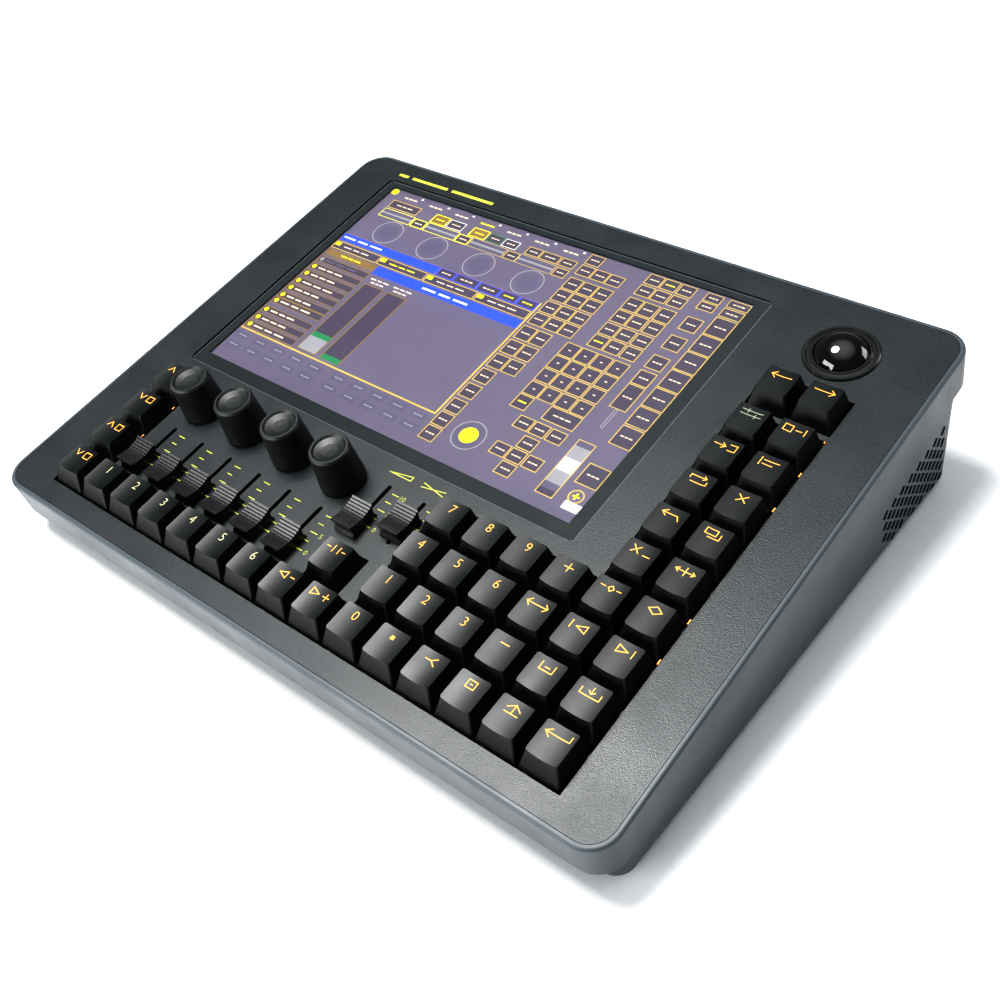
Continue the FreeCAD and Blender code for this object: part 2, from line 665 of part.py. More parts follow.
def make_switch_template():
    """One key switch: a housing that snaps into its plate, with a bore for the key's stem."""
    side, depth = "switch_hole - 0.1", "switch_depth + switch_plate_thick"
    below = box("housing_below", side, side, depth, z=f"switch_plate_top - ({depth})")
    collar_size = ("switch_collar", "switch_collar", "switch_collar_thick")
    collar = box("housing_collar", *collar_size, z="switch_plate_top")
    head_size = ("switch_head", "switch_head", "switch_head_height")
    above = box("housing_head", *head_size, z="switch_plate_top")
    # the bore goes 0.8 mm deeper than the stem of a key that is fully pressed
    bore = cylinder("housing_bore", "switch_bore", "20", z="-stem_drop - key_travel - 0.8")
    return cut("switch_template", fuse("switch_housing", [below, collar, above]), bore)


def make_keys():
    """Keys by group, their switches, the plate that holds the switches and their circuit board."""
    cap = make_key_template()
    switch = make_switch_template()
    switches = []
    holes = []
    for label, spots in KEY_GROUPS.items():
        caps = []
        for k, (column, row) in enumerate(spots):
            x, y = key_spot(column, row)
            caps.append(copy_of(cap, f"{label}_cap_{k}", x, y))
            switches.append(copy_of(switch, f"{label}_switch_{k}", x, y))
            hole_foot = "switch_plate_top - 2 * switch_plate_thick"
            side, depth = "switch_hole", "4 * switch_plate_thick"
            holes.append(box(f"{label}_hole_{k}", side, side, depth, x, y, hole_foot))
        on_panel(group(label + "_group", caps), label)
    on_panel(group("switch_group", switches), "key_switches")
    plate_foot = "switch_plate_top - switch_plate_thick"
    sheets = [key_field(f"switch_sheet_{k}", field, "1.2", "switch_plate_thick", plate_foot)
              for k, field in enumerate(KEY_FIELDS)]
    sheets.append(bridge("switch_sheet_bridge", "1.2", "switch_plate_thick", plate_foot))
    on_panel(cut("switch_sheet", fuse("switch_sheets", sheets), *holes), "switch_plate")
    board_foot = f"{plate_foot} - switch_depth - board_thick"
    boards = [
        key_field(f"board_{k}", field, "0.5", "board_thick", board_foot) for k, field in enumerate(KEY_FIELDS)
    ]
    boards.append(bridge("board_bridge", "0.5", "board_thick", board_foot))
    on_panel(fuse("boards", boards), "key_circuit_board")


def bridge(name, margin, height, z):
    """The strip that joins the uppermost pair's sheet to the column in front of it."""
    y = "keys_front + 8.5 * key_pitch + upper_pair_gap / 2"
    width = f"key_pitch + key_base + 2 * {margin}"
    return box(name, width, "key_pitch", height, "keys_right - key_pitch / 2", y, z)


# ------------------------------------------------------------------ faders
FADERS = {}
for k, name in enumerate(("six", "five", "four", "three", "two", "one"), start=2):
    FADERS[f"playback_fader_{name}"] = (name, f"fader_right - {k} * key_pitch", "fader_low_middle")
FADERS["master_fader"] = ("master", "fader_right - key_pitch", "fader_high_middle")
FADERS["cross_fader"] = ("cross", "fader_right", "fader_high_middle")
CROSS_FADER_UP = 7.0


def make_fader_cap():
    """One fader cap: a saddle with ribs across it, on a slim waist."""
    width, length = amount_of("fader_cap_width"), amount_of("fader_cap_length")
    top, foot = amount_of("fader_cap_top"), amount_of("fader_cap_foot")
    dip, rib = amount_of("fader_dip"), amount_of("fader_rib")
    ribs = 10
    lip = 0.3
    waist_in, waist_up = 1.2, 1.6
    points = [(length / 2, foot), (length / 2 - waist_in, foot + waist_up)]
    for k in range(2 * ribs + 1):
        share = 1 - k / ribs
        y = share * (length / 2 - lip)
        z = top - dip * (1 - share * share) - (rib if k % 2 else 0)
        points.append((y, z))
    points += [(-length / 2 + waist_in, foot + waist_up), (-length / 2, foot)]
    outline = Part.makePolygon([FreeCAD.Vector(-width / 2, y, z) for y, z in points + points[:1]])
    cap = doc.addObject("Part::Feature", "fader_cap_template")
    cap.Shape = Part.Face(outline).extrude(FreeCAD.Vector(width, 0, 0))
    return cap


def make_faders():
    """Eight caps on levers, and the slide potentiometers under the face plate."""
    cap = make_fader_cap()
    lever_drop = 6.0
    lever_size = ("lever_width", "lever_length", f"fader_cap_foot + {lever_drop}")
    lever = box("lever_template", *lever_size, z=f"-{lever_drop}")
    outer = box("track_outer", "track_width", "track_length", "track_depth", z="-plate_thick - track_depth")
    # the groove is wider and a little longer than the slot above it, and leaves a 2 mm floor
    groove = box("track_groove", "2 * lever_width", "fader_slot_length + 0.6", "12", z="-track_depth")
    track = cut("track_template", outer, groove)
    tracks = []
    for label, (name, x, middle) in FADERS.items():
        tracks.append(copy_of(track, f"{name}_track", x, middle))
        rest = f"{middle} - fader_travel / 2"
        if label == "cross_fader":
            rest += f" + {CROSS_FADER_UP}"
        pieces = [copy_of(cap, f"{name}_cap", x, rest), copy_of(lever, f"{name}_lever", x, rest)]
        on_panel(group(f"{name}_fader", pieces), label)
    on_panel(group("track_group", tracks), "fader_tracks")


# ------------------------------------------------------------------ encoders
def make_encoders():
    """Four knobs on shafts, and the encoder bodies whose bushings come up through the face plate."""
    knob = doc.addObject("PartDesign::Body", "knob_template")
    outline = sketch_on(knob, "XZ_Plane", "knob_outline")
    foot, top = "knob_foot_diameter / 2", "knob_top_diameter / 2"
    bore_top = "shaft_length - shaft_drop"
    polygon(outline, [
        ("0", bore_top),
        ("shaft_diameter / 2", bore_top),
        ("shaft_diameter / 2", "7"),
        ("7.4", "7"),
        ("7.4", "1"),
        (foot, "1"),
        (f"{foot} + 0.1", "2.2"),
        (f"{top} + 0.2", "knob_height - 1.0"),
        (f"{top} - 0.4", "knob_height"),
        (f"{top} - 1.3", "knob_height"),
        (f"{top} - 2.1", "knob_height - 0.8"),
        ("3.5", "knob_height - 1.5"),
        ("0", "knob_height - 1.7"),
    ])
    spin = knob.newObject("PartDesign::Revolution", "knob_turned")
    spin.Profile = outline
    spin.ReferenceAxis = (outline, ["V_Axis"])
    spin.Angle = 360
    shaft = cylinder("shaft_template", "shaft_diameter", "shaft_length", z="-shaft_drop")
    case_size = ("encoder_side", "encoder_side", "encoder_depth")
    case = box("encoder_case", *case_size, z="-plate_thick - encoder_depth")
    bushing = cylinder("encoder_bushing", "bushing_diameter", "plate_thick + 5", z="-plate_thick")
    nut = cylinder("encoder_nut", "nut_diameter", "1.8")
    bore = cylinder("encoder_bore", "shaft_diameter + 2 * shaft_clearance", "20", z="-shaft_drop - 0.5")
    body = cut("encoder_template", fuse("encoder_solid", [case, bushing, nut]), bore)
    bodies = []
    for k, name in enumerate(ENCODERS):
        x = f"encoder_right - {k} * encoder_pitch"
        bodies.append(copy_of(body, f"encoder_{name}", x, "encoder_row"))
        pieces = [
            copy_of(knob, f"knob_{name}", x, "encoder_row"),
            copy_of(shaft, f"shaft_{name}", x, "encoder_row"),
        ]
        on_panel(group(f"knob_group_{name}", pieces), f"encoder_knob_{name}")
    on_panel(group("encoder_group", bodies), "encoder_bodies")


# ------------------------------------------------------------------ trackball
def make_trackball():
    """The ball, the trim ring that keeps it in and the cup under the face plate."""
    spot = ("ball_column", "ball_row")
    on_panel(sphere("ball", "ball_diameter", *spot, "-ball_drop"), "trackball")
    space = sphere("ball_space", "ball_diameter + 2 * ball_gap", *spot, "-ball_drop")
    flange = doc.addObject("PartDesign::Body", "ring_flange")
    outline = sketch_on(flange, "XZ_Plane", "ring_outline")
    edge = "ball_ring_diameter / 2"
    polygon(outline, [
        ("5", "0"),
        (edge, "0"),
        (edge, "0.6"),
        (f"{edge} - 0.5", "1.1"),
        (f"{edge} - 1.5", "1.1"),
        (f"{edge} - 2.0", "0.6"),
        (f"{edge} - 3.1", "0.7"),
        (f"{edge} - 3.7", "1.2"),
        ("5", "1.2"),
    ])
    spin = flange.newObject("PartDesign::Revolution", "ring_turned")
    spin.Profile = outline
    spin.ReferenceAxis = (outline, ["V_Axis"])
    spin.Angle = 360
    drive(flange, "Placement", "placement(vector(ball_column; ball_row; 0); rotation(vector(0; 0; 1); 0))")
    barrel = cylinder("ring_barrel", "ball_barrel", "5.7", *spot, "-5.7")
    on_panel(cut("ring", fuse("ring_solid", [flange, barrel]), space), "trackball_ring")
    block = cylinder("cup_block", "34", "20", *spot, "-22")
    seat = cylinder("cup_seat", "ball_hole", "10", *spot, "-5.8")
    eye = cylinder("cup_eye", "7", "20", *spot, "-30")
    on_panel(cut("cup", block, space, seat, eye), "trackball_cup")


# ------------------------------------------------------------------ electronics in the tub
def make_electronics():
    """Main board on standoffs, heat sink, power supply and the side fan."""
    floor = "foot_height + tub_wall"
    board_size = ("board_width", "board_depth", "board_thick")
    on_desk(box("board", *board_size, *BOARD_SPOT, "board_level"), "main_board")
    posts = []
    screws = []
    for k, (x, y) in enumerate(STANDOFF_SPOTS):
        post = cylinder(f"post_{k}", "post_diameter", f"board_level - ({floor})", x, y, floor)
        posts.append(cut(f"bored_post_{k}", post, cylinder(f"post_bore_{k}", "screw_bore", "20", x, y)))
        head = cylinder(f"screw_head_{k}", "screw_head", "1.6", x, y, "foot_height - 1.6")
        shank = cylinder(f"screw_shank_{k}", "screw_diameter", "9", x, y, "foot_height - 0.1")
        screws.append(fuse(f"screw_{k}", [head, shank]))
    on_desk(group("posts", posts), "board_standoffs")
    on_desk(group("screws", screws), "casing_screws")
    board_top = "board_level + board_thick"
    base = box("sink_base", "sink_side", "sink_side", "sink_base_thick", *BOARD_SPOT, board_top)
    fins = []
    for k in range(SINK_FINS):
        share = k / (SINK_FINS - 1) - 0.5
        x = f"{BOARD_SPOT[0]} + {share} * (sink_side - fin_thick)"
        fins.append(box(f"sink_fin_{k}", "fin_thick", "sink_side", "fin_height", x, BOARD_SPOT[1], board_top))
    on_desk(fuse("sink", [base] + fins), "heat_sink")
    case = ("supply_width", "supply_depth", "supply_height")
    supply = box("supply", *case, *SUPPLY_SPOT, f"{floor} + 1")
    foot = box("supply_foot", "supply_width + 6", "supply_depth - 24", "1.2", *SUPPLY_SPOT, floor)
    on_desk(fuse("supply_with_foot", [supply, foot]), "power_supply")
    feet = [
        cylinder(f"foot_{k}", "foot_diameter", "foot_height", x, y) for k, (x, y) in enumerate(FOOT_SPOTS)
    ]
    on_desk(group("feet", feet), "rubber_feet")


FAN_SPOT = ("155", "82", "27.6")


def make_fan():
    """A small square fan that blows out through the right-hand vents."""
    x, y, z = FAN_SPOT
    frame = box("fan_block", "fan_thick", "fan_side", "fan_side", x, y, f"{z} - fan_side / 2")
    throat = cylinder("throat", "fan_throat", "3 * fan_thick", f"{x} - 1.5 * fan_thick", y, z, ALONG_X)
    ring = cut("fan_ring", frame, throat)
    arm_thick, arm_width, arm_length = 1.5, 2.2, 39.0
    post = cylinder("fan_post", "fan_hub - 1", f"{arm_thick}", f"{x} - fan_thick / 2", y, z, ALONG_X)
    arm_x = f"{x} - fan_thick / 2 + {arm_thick / 2}"
    level_foot, upright_foot = f"{z} - {arm_width / 2}", f"{z} - {arm_length / 2}"
    arms = [
        box("fan_arm_level", arm_thick, arm_length, arm_width, arm_x, y, level_foot),
        box("fan_arm_upright", arm_thick, arm_width, arm_length, arm_x, y, upright_foot),
    ]
    on_desk(fuse("fan_body", [ring, post] + arms), "fan_frame")
    hub = cylinder("rotor_hub", "fan_hub", "7", f"{x} - 2.6", y, z, ALONG_X)
    blades = []
    blade_count = 7
    for k in range(blade_count):
        blade = doc.addObject("Part::Box", f"rotor_blade_{k}")
        blade.Length, blade.Width, blade.Height = 7.5, 1.1, 12.0
        turned = FreeCAD.Rotation(FreeCAD.Vector(1, 0, 0), 360.0 / blade_count * k)
        pitched = turned.multiply(FreeCAD.Rotation(FreeCAD.Vector(0, 0, 1), 35))
        reach = turned.multVec(FreeCAD.Vector(-2.2, -1.5, 6.0))
        blade.Placement.Rotation = pitched
        drive(blade, "Placement.Base.x", f"{x} + {reach.x}")
        drive(blade, "Placement.Base.y", f"{y} + {reach.y}")
        drive(blade, "Placement.Base.z", f"{z} + {reach.z}")
        blades.append(blade)
    on_desk(fuse("rotor", [hub] + blades), "fan_rotor")


# ------------------------------------------------------------------ connectors on the rear wall
LINE_SPOTS = ("46", "76")
NETWORK_SPOT = "14"
USB_SPOT = "-7"
INLET_SPOT = "-66"
INLET_MIDDLE = "-54"
ROCKER_SPOT = "-39"


def rear_box(name, width, height, front, back, x, rise="0"):
    """A box on the rear wall between two depths behind the connector plate's face."""
    y = f"{PLATE_FACE} + (({front}) + ({back})) / 2"
    z = f"rear_middle - ({height}) / 2 + {rise}"
    return box(name, width, f"({front}) - ({back})", height, x, y, z)


def make_rear():
    """Connector plate with lighting-data sockets, computer sockets and the power inlet."""
    plate = rear_box("rear_blank", "rear_plate_width", "rear_plate_height", "0", "-rear_plate_thick", "0")
    holes = [
        cylinder(f"line_hole_{k}", "line_barrel + 0.4", "20", x, f"{PLATE_FACE} - 10", "rear_middle", ALONG_Y)
        for k, x in enumerate(LINE_SPOTS)
    ]
    holes += [
        rear_box("network_hole", "16.4", "13.8", "5", "-5", NETWORK_SPOT),
        rear_box("usb_hole", "14.8", "15.8", "5", "-5", USB_SPOT),
        rear_box("inlet_hole", "54.4", "22.4", "5", "-5", INLET_MIDDLE),
    ]
    on_desk(cut("rear_sheet", plate, *holes), "rear_plate")
    sockets = [line_socket(k, x) for k, x in enumerate(LINE_SPOTS)]
    on_desk(group("line_sockets", sockets), "data_line_sockets")
    on_desk(group("computer_sockets_group", [network_socket(), usb_sockets()]), "computer_sockets")
    make_inlet()
    make_rocker()


def line_socket(k, x):
    """One five-contact lighting-data socket: a flanged barrel with a core that carries the contacts."""
    flange = rear_box(f"line_flange_{k}", "26", "31", "2", "0", x)
    barrel = cylinder(f"barrel_{k}", "line_barrel", "24", x, f"{PLATE_FACE} - 22", "rear_middle", ALONG_Y)
    bore = cylinder(f"bore_{k}", "line_bore", "16", x, f"{PLATE_FACE} - 11", "rear_middle", ALONG_Y)
    insert = cylinder(f"insert_{k}", "line_insert", "12.5", x, f"{PLATE_FACE} - 12", "rear_middle", ALONG_Y)
    contacts = []
    for turn in range(5):
        angle = math.radians(-120 + 60 * turn)
        contact_x = f"{x} + {math.sin(angle)} * contact_circle / 2"
        contact_z = f"rear_middle + {math.cos(angle)} * contact_circle / 2"
        spot = (contact_x, f"{PLATE_FACE} - 9", contact_z)
        contacts.append(cylinder(f"contact_{k}_{turn}", "contact_hole", "12", *spot, ALONG_Y))
    shell = cut(f"line_shell_{k}", fuse(f"line_solid_{k}", [flange, barrel]), bore)
    return cut(f"line_socket_{k}", fuse(f"line_filled_{k}", [shell, insert]), *contacts)


def network_socket():
    block = rear_box("network_block", "16", "13.4", "0.8", "-17", NETWORK_SPOT)
    cavity = rear_box("network_cavity", "network_width", "network_height", "5", "-12", NETWORK_SPOT)
    return cut("network_socket", block, cavity)


def usb_sockets():
    block = rear_box("usb_block", "14.4", "15.4", "0.8", "-17", USB_SPOT)
    cavities = [
        rear_box(f"usb_cavity_{name}", "usb_width", "usb_height", "5", "-11", USB_SPOT, rise)
        for name, rise in (("upper", "usb_offset"), ("lower", "(-usb_offset)"))
    ]
    return cut("usb_socket", block, *cavities)


def make_inlet():
    """Power inlet with three blades, in one housing with the space for the power switch's drum."""
    flange = rear_box("inlet_flange", "60", "27", "1.6", "0", INLET_MIDDLE)
    block = rear_box("inlet_block", "54", "22", "1.6", "-22", INLET_MIDDLE)
    cavity = rear_box("inlet_cavity", "inlet_width", "inlet_height", "5", "-inlet_depth", INLET_SPOT)
    width = "rocker_width + 0.6"
    drum_left = f"{ROCKER_SPOT} - ({width}) / 2"
    drum_space = cylinder(
        "rocker_space", "rocker_diameter + 0.8", width, drum_left, PLATE_FACE, "rear_middle", ALONG_X
    )
    blade_spots = (("-7", "-2"), ("7", "-2"), ("0", "3"))
    blades = [
        rear_box(f"inlet_blade_{k}", "1.6", "4.4", "-4", "-inlet_depth - 1", f"{INLET_SPOT} + {across}", rise)
        for k, (across, rise) in enumerate(blade_spots)
    ]
    inlet = cut("inlet_shell", fuse("inlet_solid", [flange, block]), cavity, drum_space)
    on_desk(fuse("inlet", [inlet] + blades), "power_inlet")


ROCKER_TILT = 8.0


def make_rocker():
    """Power switch rocker: a round drum whose two front flats meet in a low ridge."""
    left = f"{ROCKER_SPOT} - rocker_width / 2"
    spot = (left, PLATE_FACE, "rear_middle")
    drum = cylinder("rocker_drum", "rocker_diameter", "rocker_width", *spot, ALONG_X)
    about_x = FreeCAD.Vector(1, 0, 0)
    ridge_out = FreeCAD.Vector(0, amount_of("rocker_ridge"), 0)
    trim_corner = FreeCAD.Vector(-15, 0, -30)
    trims = []
    for side in (1, -1):
        trim = doc.addObject("Part::Box", f"rocker_trim_{side + 1}")
        trim.Length, trim.Width, trim.Height = 30, 30, 60
        # each flat leans back from the ridge by the rocker's tilt, and the whole drum rests rolled
        lean = side * ROCKER_TILT - ROCKER_TILT
        trim.Placement.Rotation = FreeCAD.Rotation(about_x, lean)
        corner = FreeCAD.Rotation(about_x, lean).multVec(trim_corner)
        ridge = FreeCAD.Rotation(about_x, -ROCKER_TILT).multVec(ridge_out)
        drive(trim, "Placement.Base.x", f"{ROCKER_SPOT} + {corner.x}")
        drive(trim, "Placement.Base.y", f"{PLATE_FACE} + {corner.y + ridge.y}")
        drive(trim, "Placement.Base.z", f"rear_middle + {corner.z + ridge.z}")
        trims.append(trim)
    on_desk(cut("rocker", drum, *trims), "power_rocker")


# ------------------------------------------------------------------ build, check and write
make_top_frame()
make_tub()
make_face_plate()
make_screen()
make_keys()
make_faders()
make_encoders()
make_trackball()
make_electronics()
make_fan()
make_rear()
doc.recompute()

for item in doc.Objects:
    if "Invalid" in item.State or "Error" in item.State:
        raise SystemExit(f"{item.Name} ({item.Label}) failed: {item.State}")
for item in NODES:
    if item.Shape.isNull() or not item.Shape.isValid() or not item.Shape.Solids:
        raise SystemExit(f"{item.Label} has no valid solid")
for item in NODES:
    item.Shape.exportStep(f"parts/{item.Label}.step")
    print(f"{item.Label:26s} {len(item.Shape.Solids):3d} solids {item.Shape.Volume / 1000:9.2f} cm3")
print(len(NODES), "nodes")
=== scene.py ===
# %% [markdown]
# # A lighting control desk
# The desk is a sloping metal face plate in a painted frame, over a shallow tub. The face plate
# carries a touch screen, blocks of square keys, slide faders, four knobs and a trackball.
# The engineering model is loaded first, as a fixed frame. Everything made here is placed by it.

# %% Load the frame
import json
import math

import bmesh
import bpy
from mathutils import Matrix, Vector


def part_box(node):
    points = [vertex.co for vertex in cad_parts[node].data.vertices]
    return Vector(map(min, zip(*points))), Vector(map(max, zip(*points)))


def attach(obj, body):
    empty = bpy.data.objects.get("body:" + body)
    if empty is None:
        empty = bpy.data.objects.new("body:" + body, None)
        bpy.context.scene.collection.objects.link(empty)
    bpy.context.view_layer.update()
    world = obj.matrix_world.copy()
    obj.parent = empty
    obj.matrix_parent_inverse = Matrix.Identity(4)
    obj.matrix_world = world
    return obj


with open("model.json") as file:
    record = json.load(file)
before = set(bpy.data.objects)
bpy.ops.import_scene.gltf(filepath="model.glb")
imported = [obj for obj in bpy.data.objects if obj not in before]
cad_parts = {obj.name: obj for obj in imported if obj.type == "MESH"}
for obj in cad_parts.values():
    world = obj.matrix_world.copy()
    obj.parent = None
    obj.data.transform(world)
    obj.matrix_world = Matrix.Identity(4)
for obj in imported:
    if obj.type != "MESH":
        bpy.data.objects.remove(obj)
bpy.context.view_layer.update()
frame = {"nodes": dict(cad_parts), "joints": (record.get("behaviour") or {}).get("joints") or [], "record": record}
nodes = frame["nodes"]
joints = {joint["name"]: joint for joint in frame["joints"]}

# %% [markdown]
# ## The panel's own frame
# Printing, legends and the screen's picture all lie on a slope. It is easier to draw them flat, in
# millimetres across and up the panel, and to tilt them once. The slope is read from the joints: a
# fader slides up the slope and a knob turns about the line that stands square on it.

# %% A matrix from panel millimetres to the desk
MM = 0.001
across = Vector((1, 0, 0))
up_slope = Vector(joints["master_fader_slide"]["axis"]).normalized()
outward = Vector(joints["encoder_knob_four_turn"]["axis"]).normalized()
KNOB_FOUR = Vector((-18.95, -52.85))
knob_at = Vector(joints["encoder_knob_four_turn"]["pos_m"])
panel_origin = knob_at - (across * KNOB_FOUR.x + up_slope * KNOB_FOUR.y) * MM
PANEL = Matrix.Translation(panel_origin) @ Matrix((across, up_slope, outward)).transposed().to_4x4()
print("slope in degrees", round(math.degrees(math.asin(up_slope.z)), 2))

# %% [markdown]
# ## The camera
# The camera stands to the front right of the desk and looks down on it. Its place and its three
# axes are stated, which is more exact than aiming it at a point. A small lens shift frames the desk
# without turning the camera, so upright lines keep their direction.

# %% Make the camera
camera_data = bpy.data.cameras.new("camera")
camera = bpy.data.objects.new("camera", camera_data)
bpy.context.scene.collection.objects.link(camera)
CAMERA_AT = Vector((0.30803, -0.27546, 0.37414))
CAMERA_RIGHT = Vector((0.773282, 0.624311, -0.110773))
CAMERA_UP = Vector((-0.362425, 0.578556, 0.730699))
turn = Matrix((CAMERA_RIGHT, CAMERA_UP, CAMERA_RIGHT.cross(CAMERA_UP))).transposed()
camera.matrix_world = Matrix.Translation(CAMERA_AT) @ turn.to_4x4()
camera_data.lens = 44.289
camera_data.sensor_width = 36.0
camera_data.shift_x = -0.0311
camera_data.shift_y = -0.0092
camera_data.clip_start = 0.01
bpy.context.scene.camera = camera
print("camera", tuple(round(value, 3) for value in camera.location))

# %% [markdown]
# ## Floor and studio light
# A pale floor and soft lamps give the nearly shadowless light of a product picture. A round lamp
# hangs overhead, where its sheen lies on the front right of the face plate and on the key tops while
# its mirror image stays off the glass. A broad lamp in front lifts the front wall, and a weak one at
# the rear right lifts the side wall. The surround is bright overhead and dim near the horizon, which
# keeps the black plastics black.

# %% Floor, surround and lamps
bpy.context.scene.view_settings.view_transform = "Standard"
bpy.context.scene.view_settings.look = "High Contrast"


def lamp(name, shape, place, target, width, height, power):
    """A flat lamp that faces a target, sized in metres and powered in watts."""
    data = bpy.data.lights.new(name, "AREA")
    data.shape = shape
    data.size, data.size_y, data.energy = width, height, power
    item = bpy.data.objects.new(name, data)
    bpy.context.scene.collection.objects.link(item)
    item.location = place
    item.rotation_mode = "QUATERNION"
    item.rotation_quaternion = (Vector(target) - Vector(place)).to_track_quat("-Z", "Y")


lamp("overhead", "DISK", (-0.24, -0.11, 1.05), (0.02, -0.08, 0.04), 0.5, 0.5, 16.0)
lamp("front", "RECTANGLE", (-0.55, -1.35, 0.45), (0.0, -0.05, 0.04), 1.3, 0.6, 18.0)
lamp("side", "RECTANGLE", (0.62, 0.72, 0.24), (0.17, 0.06, 0.03), 0.4, 0.3, 1.3)

world = bpy.data.worlds.new("surround")
bpy.context.scene.world = world
world.use_nodes = True
sky = world.node_tree
sky.nodes["Background"].inputs["Color"].default_value = (0.93, 0.97, 1.0, 1)
direction = sky.nodes.new("ShaderNodeTexCoord").outputs["Generated"]
split = sky.nodes.new("ShaderNodeSeparateXYZ")
rise = sky.nodes.new("ShaderNodeMapRange")
sky.links.new(direction, split.inputs["Vector"])
sky.links.new(split.outputs["Z"], rise.inputs["Value"])
for label, value in (("From Min", 0.68), ("From Max", 0.98), ("To Min", 0.10), ("To Max", 1.3)):
    rise.inputs[label].default_value = value
sky.links.new(rise.outputs["Result"], sky.nodes["Background"].inputs["Strength"])

FLOOR_HALF = 4.0
floor_mesh = bpy.data.meshes.new("floor")
corners = [(FLOOR_HALF * x, FLOOR_HALF * y, 0) for x, y in ((-1, -1), (1, -1), (1, 1), (-1, 1))]
floor_mesh.from_pydata(corners, [], [(0, 1, 2, 3)])
floor = bpy.data.objects.new("floor", floor_mesh)
bpy.context.scene.collection.objects.link(floor)
print("lamps", len(bpy.data.lights), "floor half width, m", FLOOR_HALF)

# %% [markdown]
# ## Shared surface effects
# Three effects turn up on many finishes, so each is a node group with named inputs. *Speckle* mixes
# two colours in fine grains and gives a matching height, as a powder coat has. *Grain* is the faint
# roughness of moulded or sprayed parts. *Handling* varies the gloss slowly, as fingers and wiping do.
# Every pattern is fixed to the piece in metres, so it keeps its size from any side.

# %% A helper that starts a node group
def new_group(name, inputs, outputs):
    """A shader node group: inputs are (name, type, value), outputs are (name, type)."""
    tree = bpy.data.node_groups.new(name, "ShaderNodeTree")
    for label, kind, value in inputs:
        socket = tree.interface.new_socket(label, in_out="INPUT", socket_type="NodeSocket" + kind)
        if value is not None:
            socket.default_value = value
    for label, kind in outputs:
        tree.interface.new_socket(label, in_out="OUTPUT", socket_type="NodeSocket" + kind)
    return tree, tree.nodes.new("NodeGroupInput"), tree.nodes.new("NodeGroupOutput")


def noise(tree, vector, scale, detail=3.0):
    """A noise texture on a vector; scale is a number or an output to take it from."""
    node = tree.nodes.new("ShaderNodeTexNoise")
    node.inputs["Detail"].default_value = detail
    tree.links.new(vector, node.inputs["Vector"])
    if isinstance(scale, bpy.types.NodeSocket):
        tree.links.new(scale, node.inputs["Scale"])
    else:
        node.inputs["Scale"].default_value = scale
    return node.outputs["Fac"]


def remap(tree, value, low, high, to_low, to_high):
    """Stretch a value from one range to another; an end may be a number or an output."""
    node = tree.nodes.new("ShaderNodeMapRange")
    tree.links.new(value, node.inputs["Value"])
    for label, end in (("From Min", low), ("From Max", high), ("To Min", to_low), ("To Max", to_high)):
        if isinstance(end, bpy.types.NodeSocket):
            tree.links.new(end, node.inputs[label])
        else:
            node.inputs[label].default_value = end
    return node.outputs["Result"]


# %% The speckle group
speckle, given, result = new_group(
    "Speckle",
    [
        ("Vector", "Vector", None),
        ("Size", "Float", 0.0004),
        ("Dark", "Color", (0, 0, 0, 1)),
        ("Pale", "Color", (1, 1, 1, 1)),
    ],
    [("Color", "Color"), ("Height", "Float")],
)
per_metre = speckle.nodes.new("ShaderNodeMath")
per_metre.operation = "DIVIDE"
per_metre.inputs[0].default_value = 1.0
speckle.links.new(given.outputs["Size"], per_metre.inputs[1])
grains = noise(speckle, given.outputs["Vector"], per_metre.outputs[0], 2.0)
spread = remap(speckle, grains, 0.32, 0.68, 0.0, 1.0)
two_tone = speckle.nodes.new("ShaderNodeMix")
two_tone.data_type = "RGBA"
speckle.links.new(spread, two_tone.inputs["Factor"])
speckle.links.new(given.outputs["Dark"], two_tone.inputs[6])
speckle.links.new(given.outputs["Pale"], two_tone.inputs[7])
speckle.links.new(two_tone.outputs[2], result.inputs["Color"])
speckle.links.new(grains, result.inputs["Height"])
print("speckle group has", len(speckle.nodes), "nodes")

# %% The grain and handling groups
grain, given, result = new_group(
    "Grain", [("Vector", "Vector", None), ("Size", "Float", 0.0003)], [("Height", "Float")]
)
per_metre = grain.nodes.new("ShaderNodeMath")
per_metre.operation = "DIVIDE"
per_metre.inputs[0].default_value = 1.0
grain.links.new(given.outputs["Size"], per_metre.inputs[1])
grain.links.new(noise(grain, given.outputs["Vector"], per_metre.outputs[0], 1.0), result.inputs["Height"])

handling, given, result = new_group(
    "Handling",
    [("Vector", "Vector", None), ("Gloss", "Float", 0.3), ("Matt", "Float", 0.5)],
    [("Roughness", "Float"), ("Mask", "Float")],
)
slow = noise(handling, given.outputs["Vector"], 45.0, 4.0)
handling.links.new(slow, result.inputs["Mask"])
roughness = remap(handling, slow, 0.35, 0.65, given.outputs["Gloss"], given.outputs["Matt"])
handling.links.new(roughness, result.inputs["Roughness"])
print("grain and handling groups made")

# %% [markdown]
# ## Finishes
# Most pieces are painted metal, moulded plastic or plain metal, so one recipe with different values
# makes them all: a speckled colour, a roughness that varies with handling and a fine bump. The shader
# itself stays in each material. The colour pairs sit close together, so the speckle reads as texture.

# %% One recipe for solid finishes
def place_group(tree, group, vector, values):
    """Put a node group in a material and set its inputs."""
    node = tree.nodes.new("ShaderNodeGroup")
    node.node_tree = group
    tree.links.new(vector, node.inputs["Vector"])
    for label, value in values.items():
        node.inputs[label].default_value = value
    return node


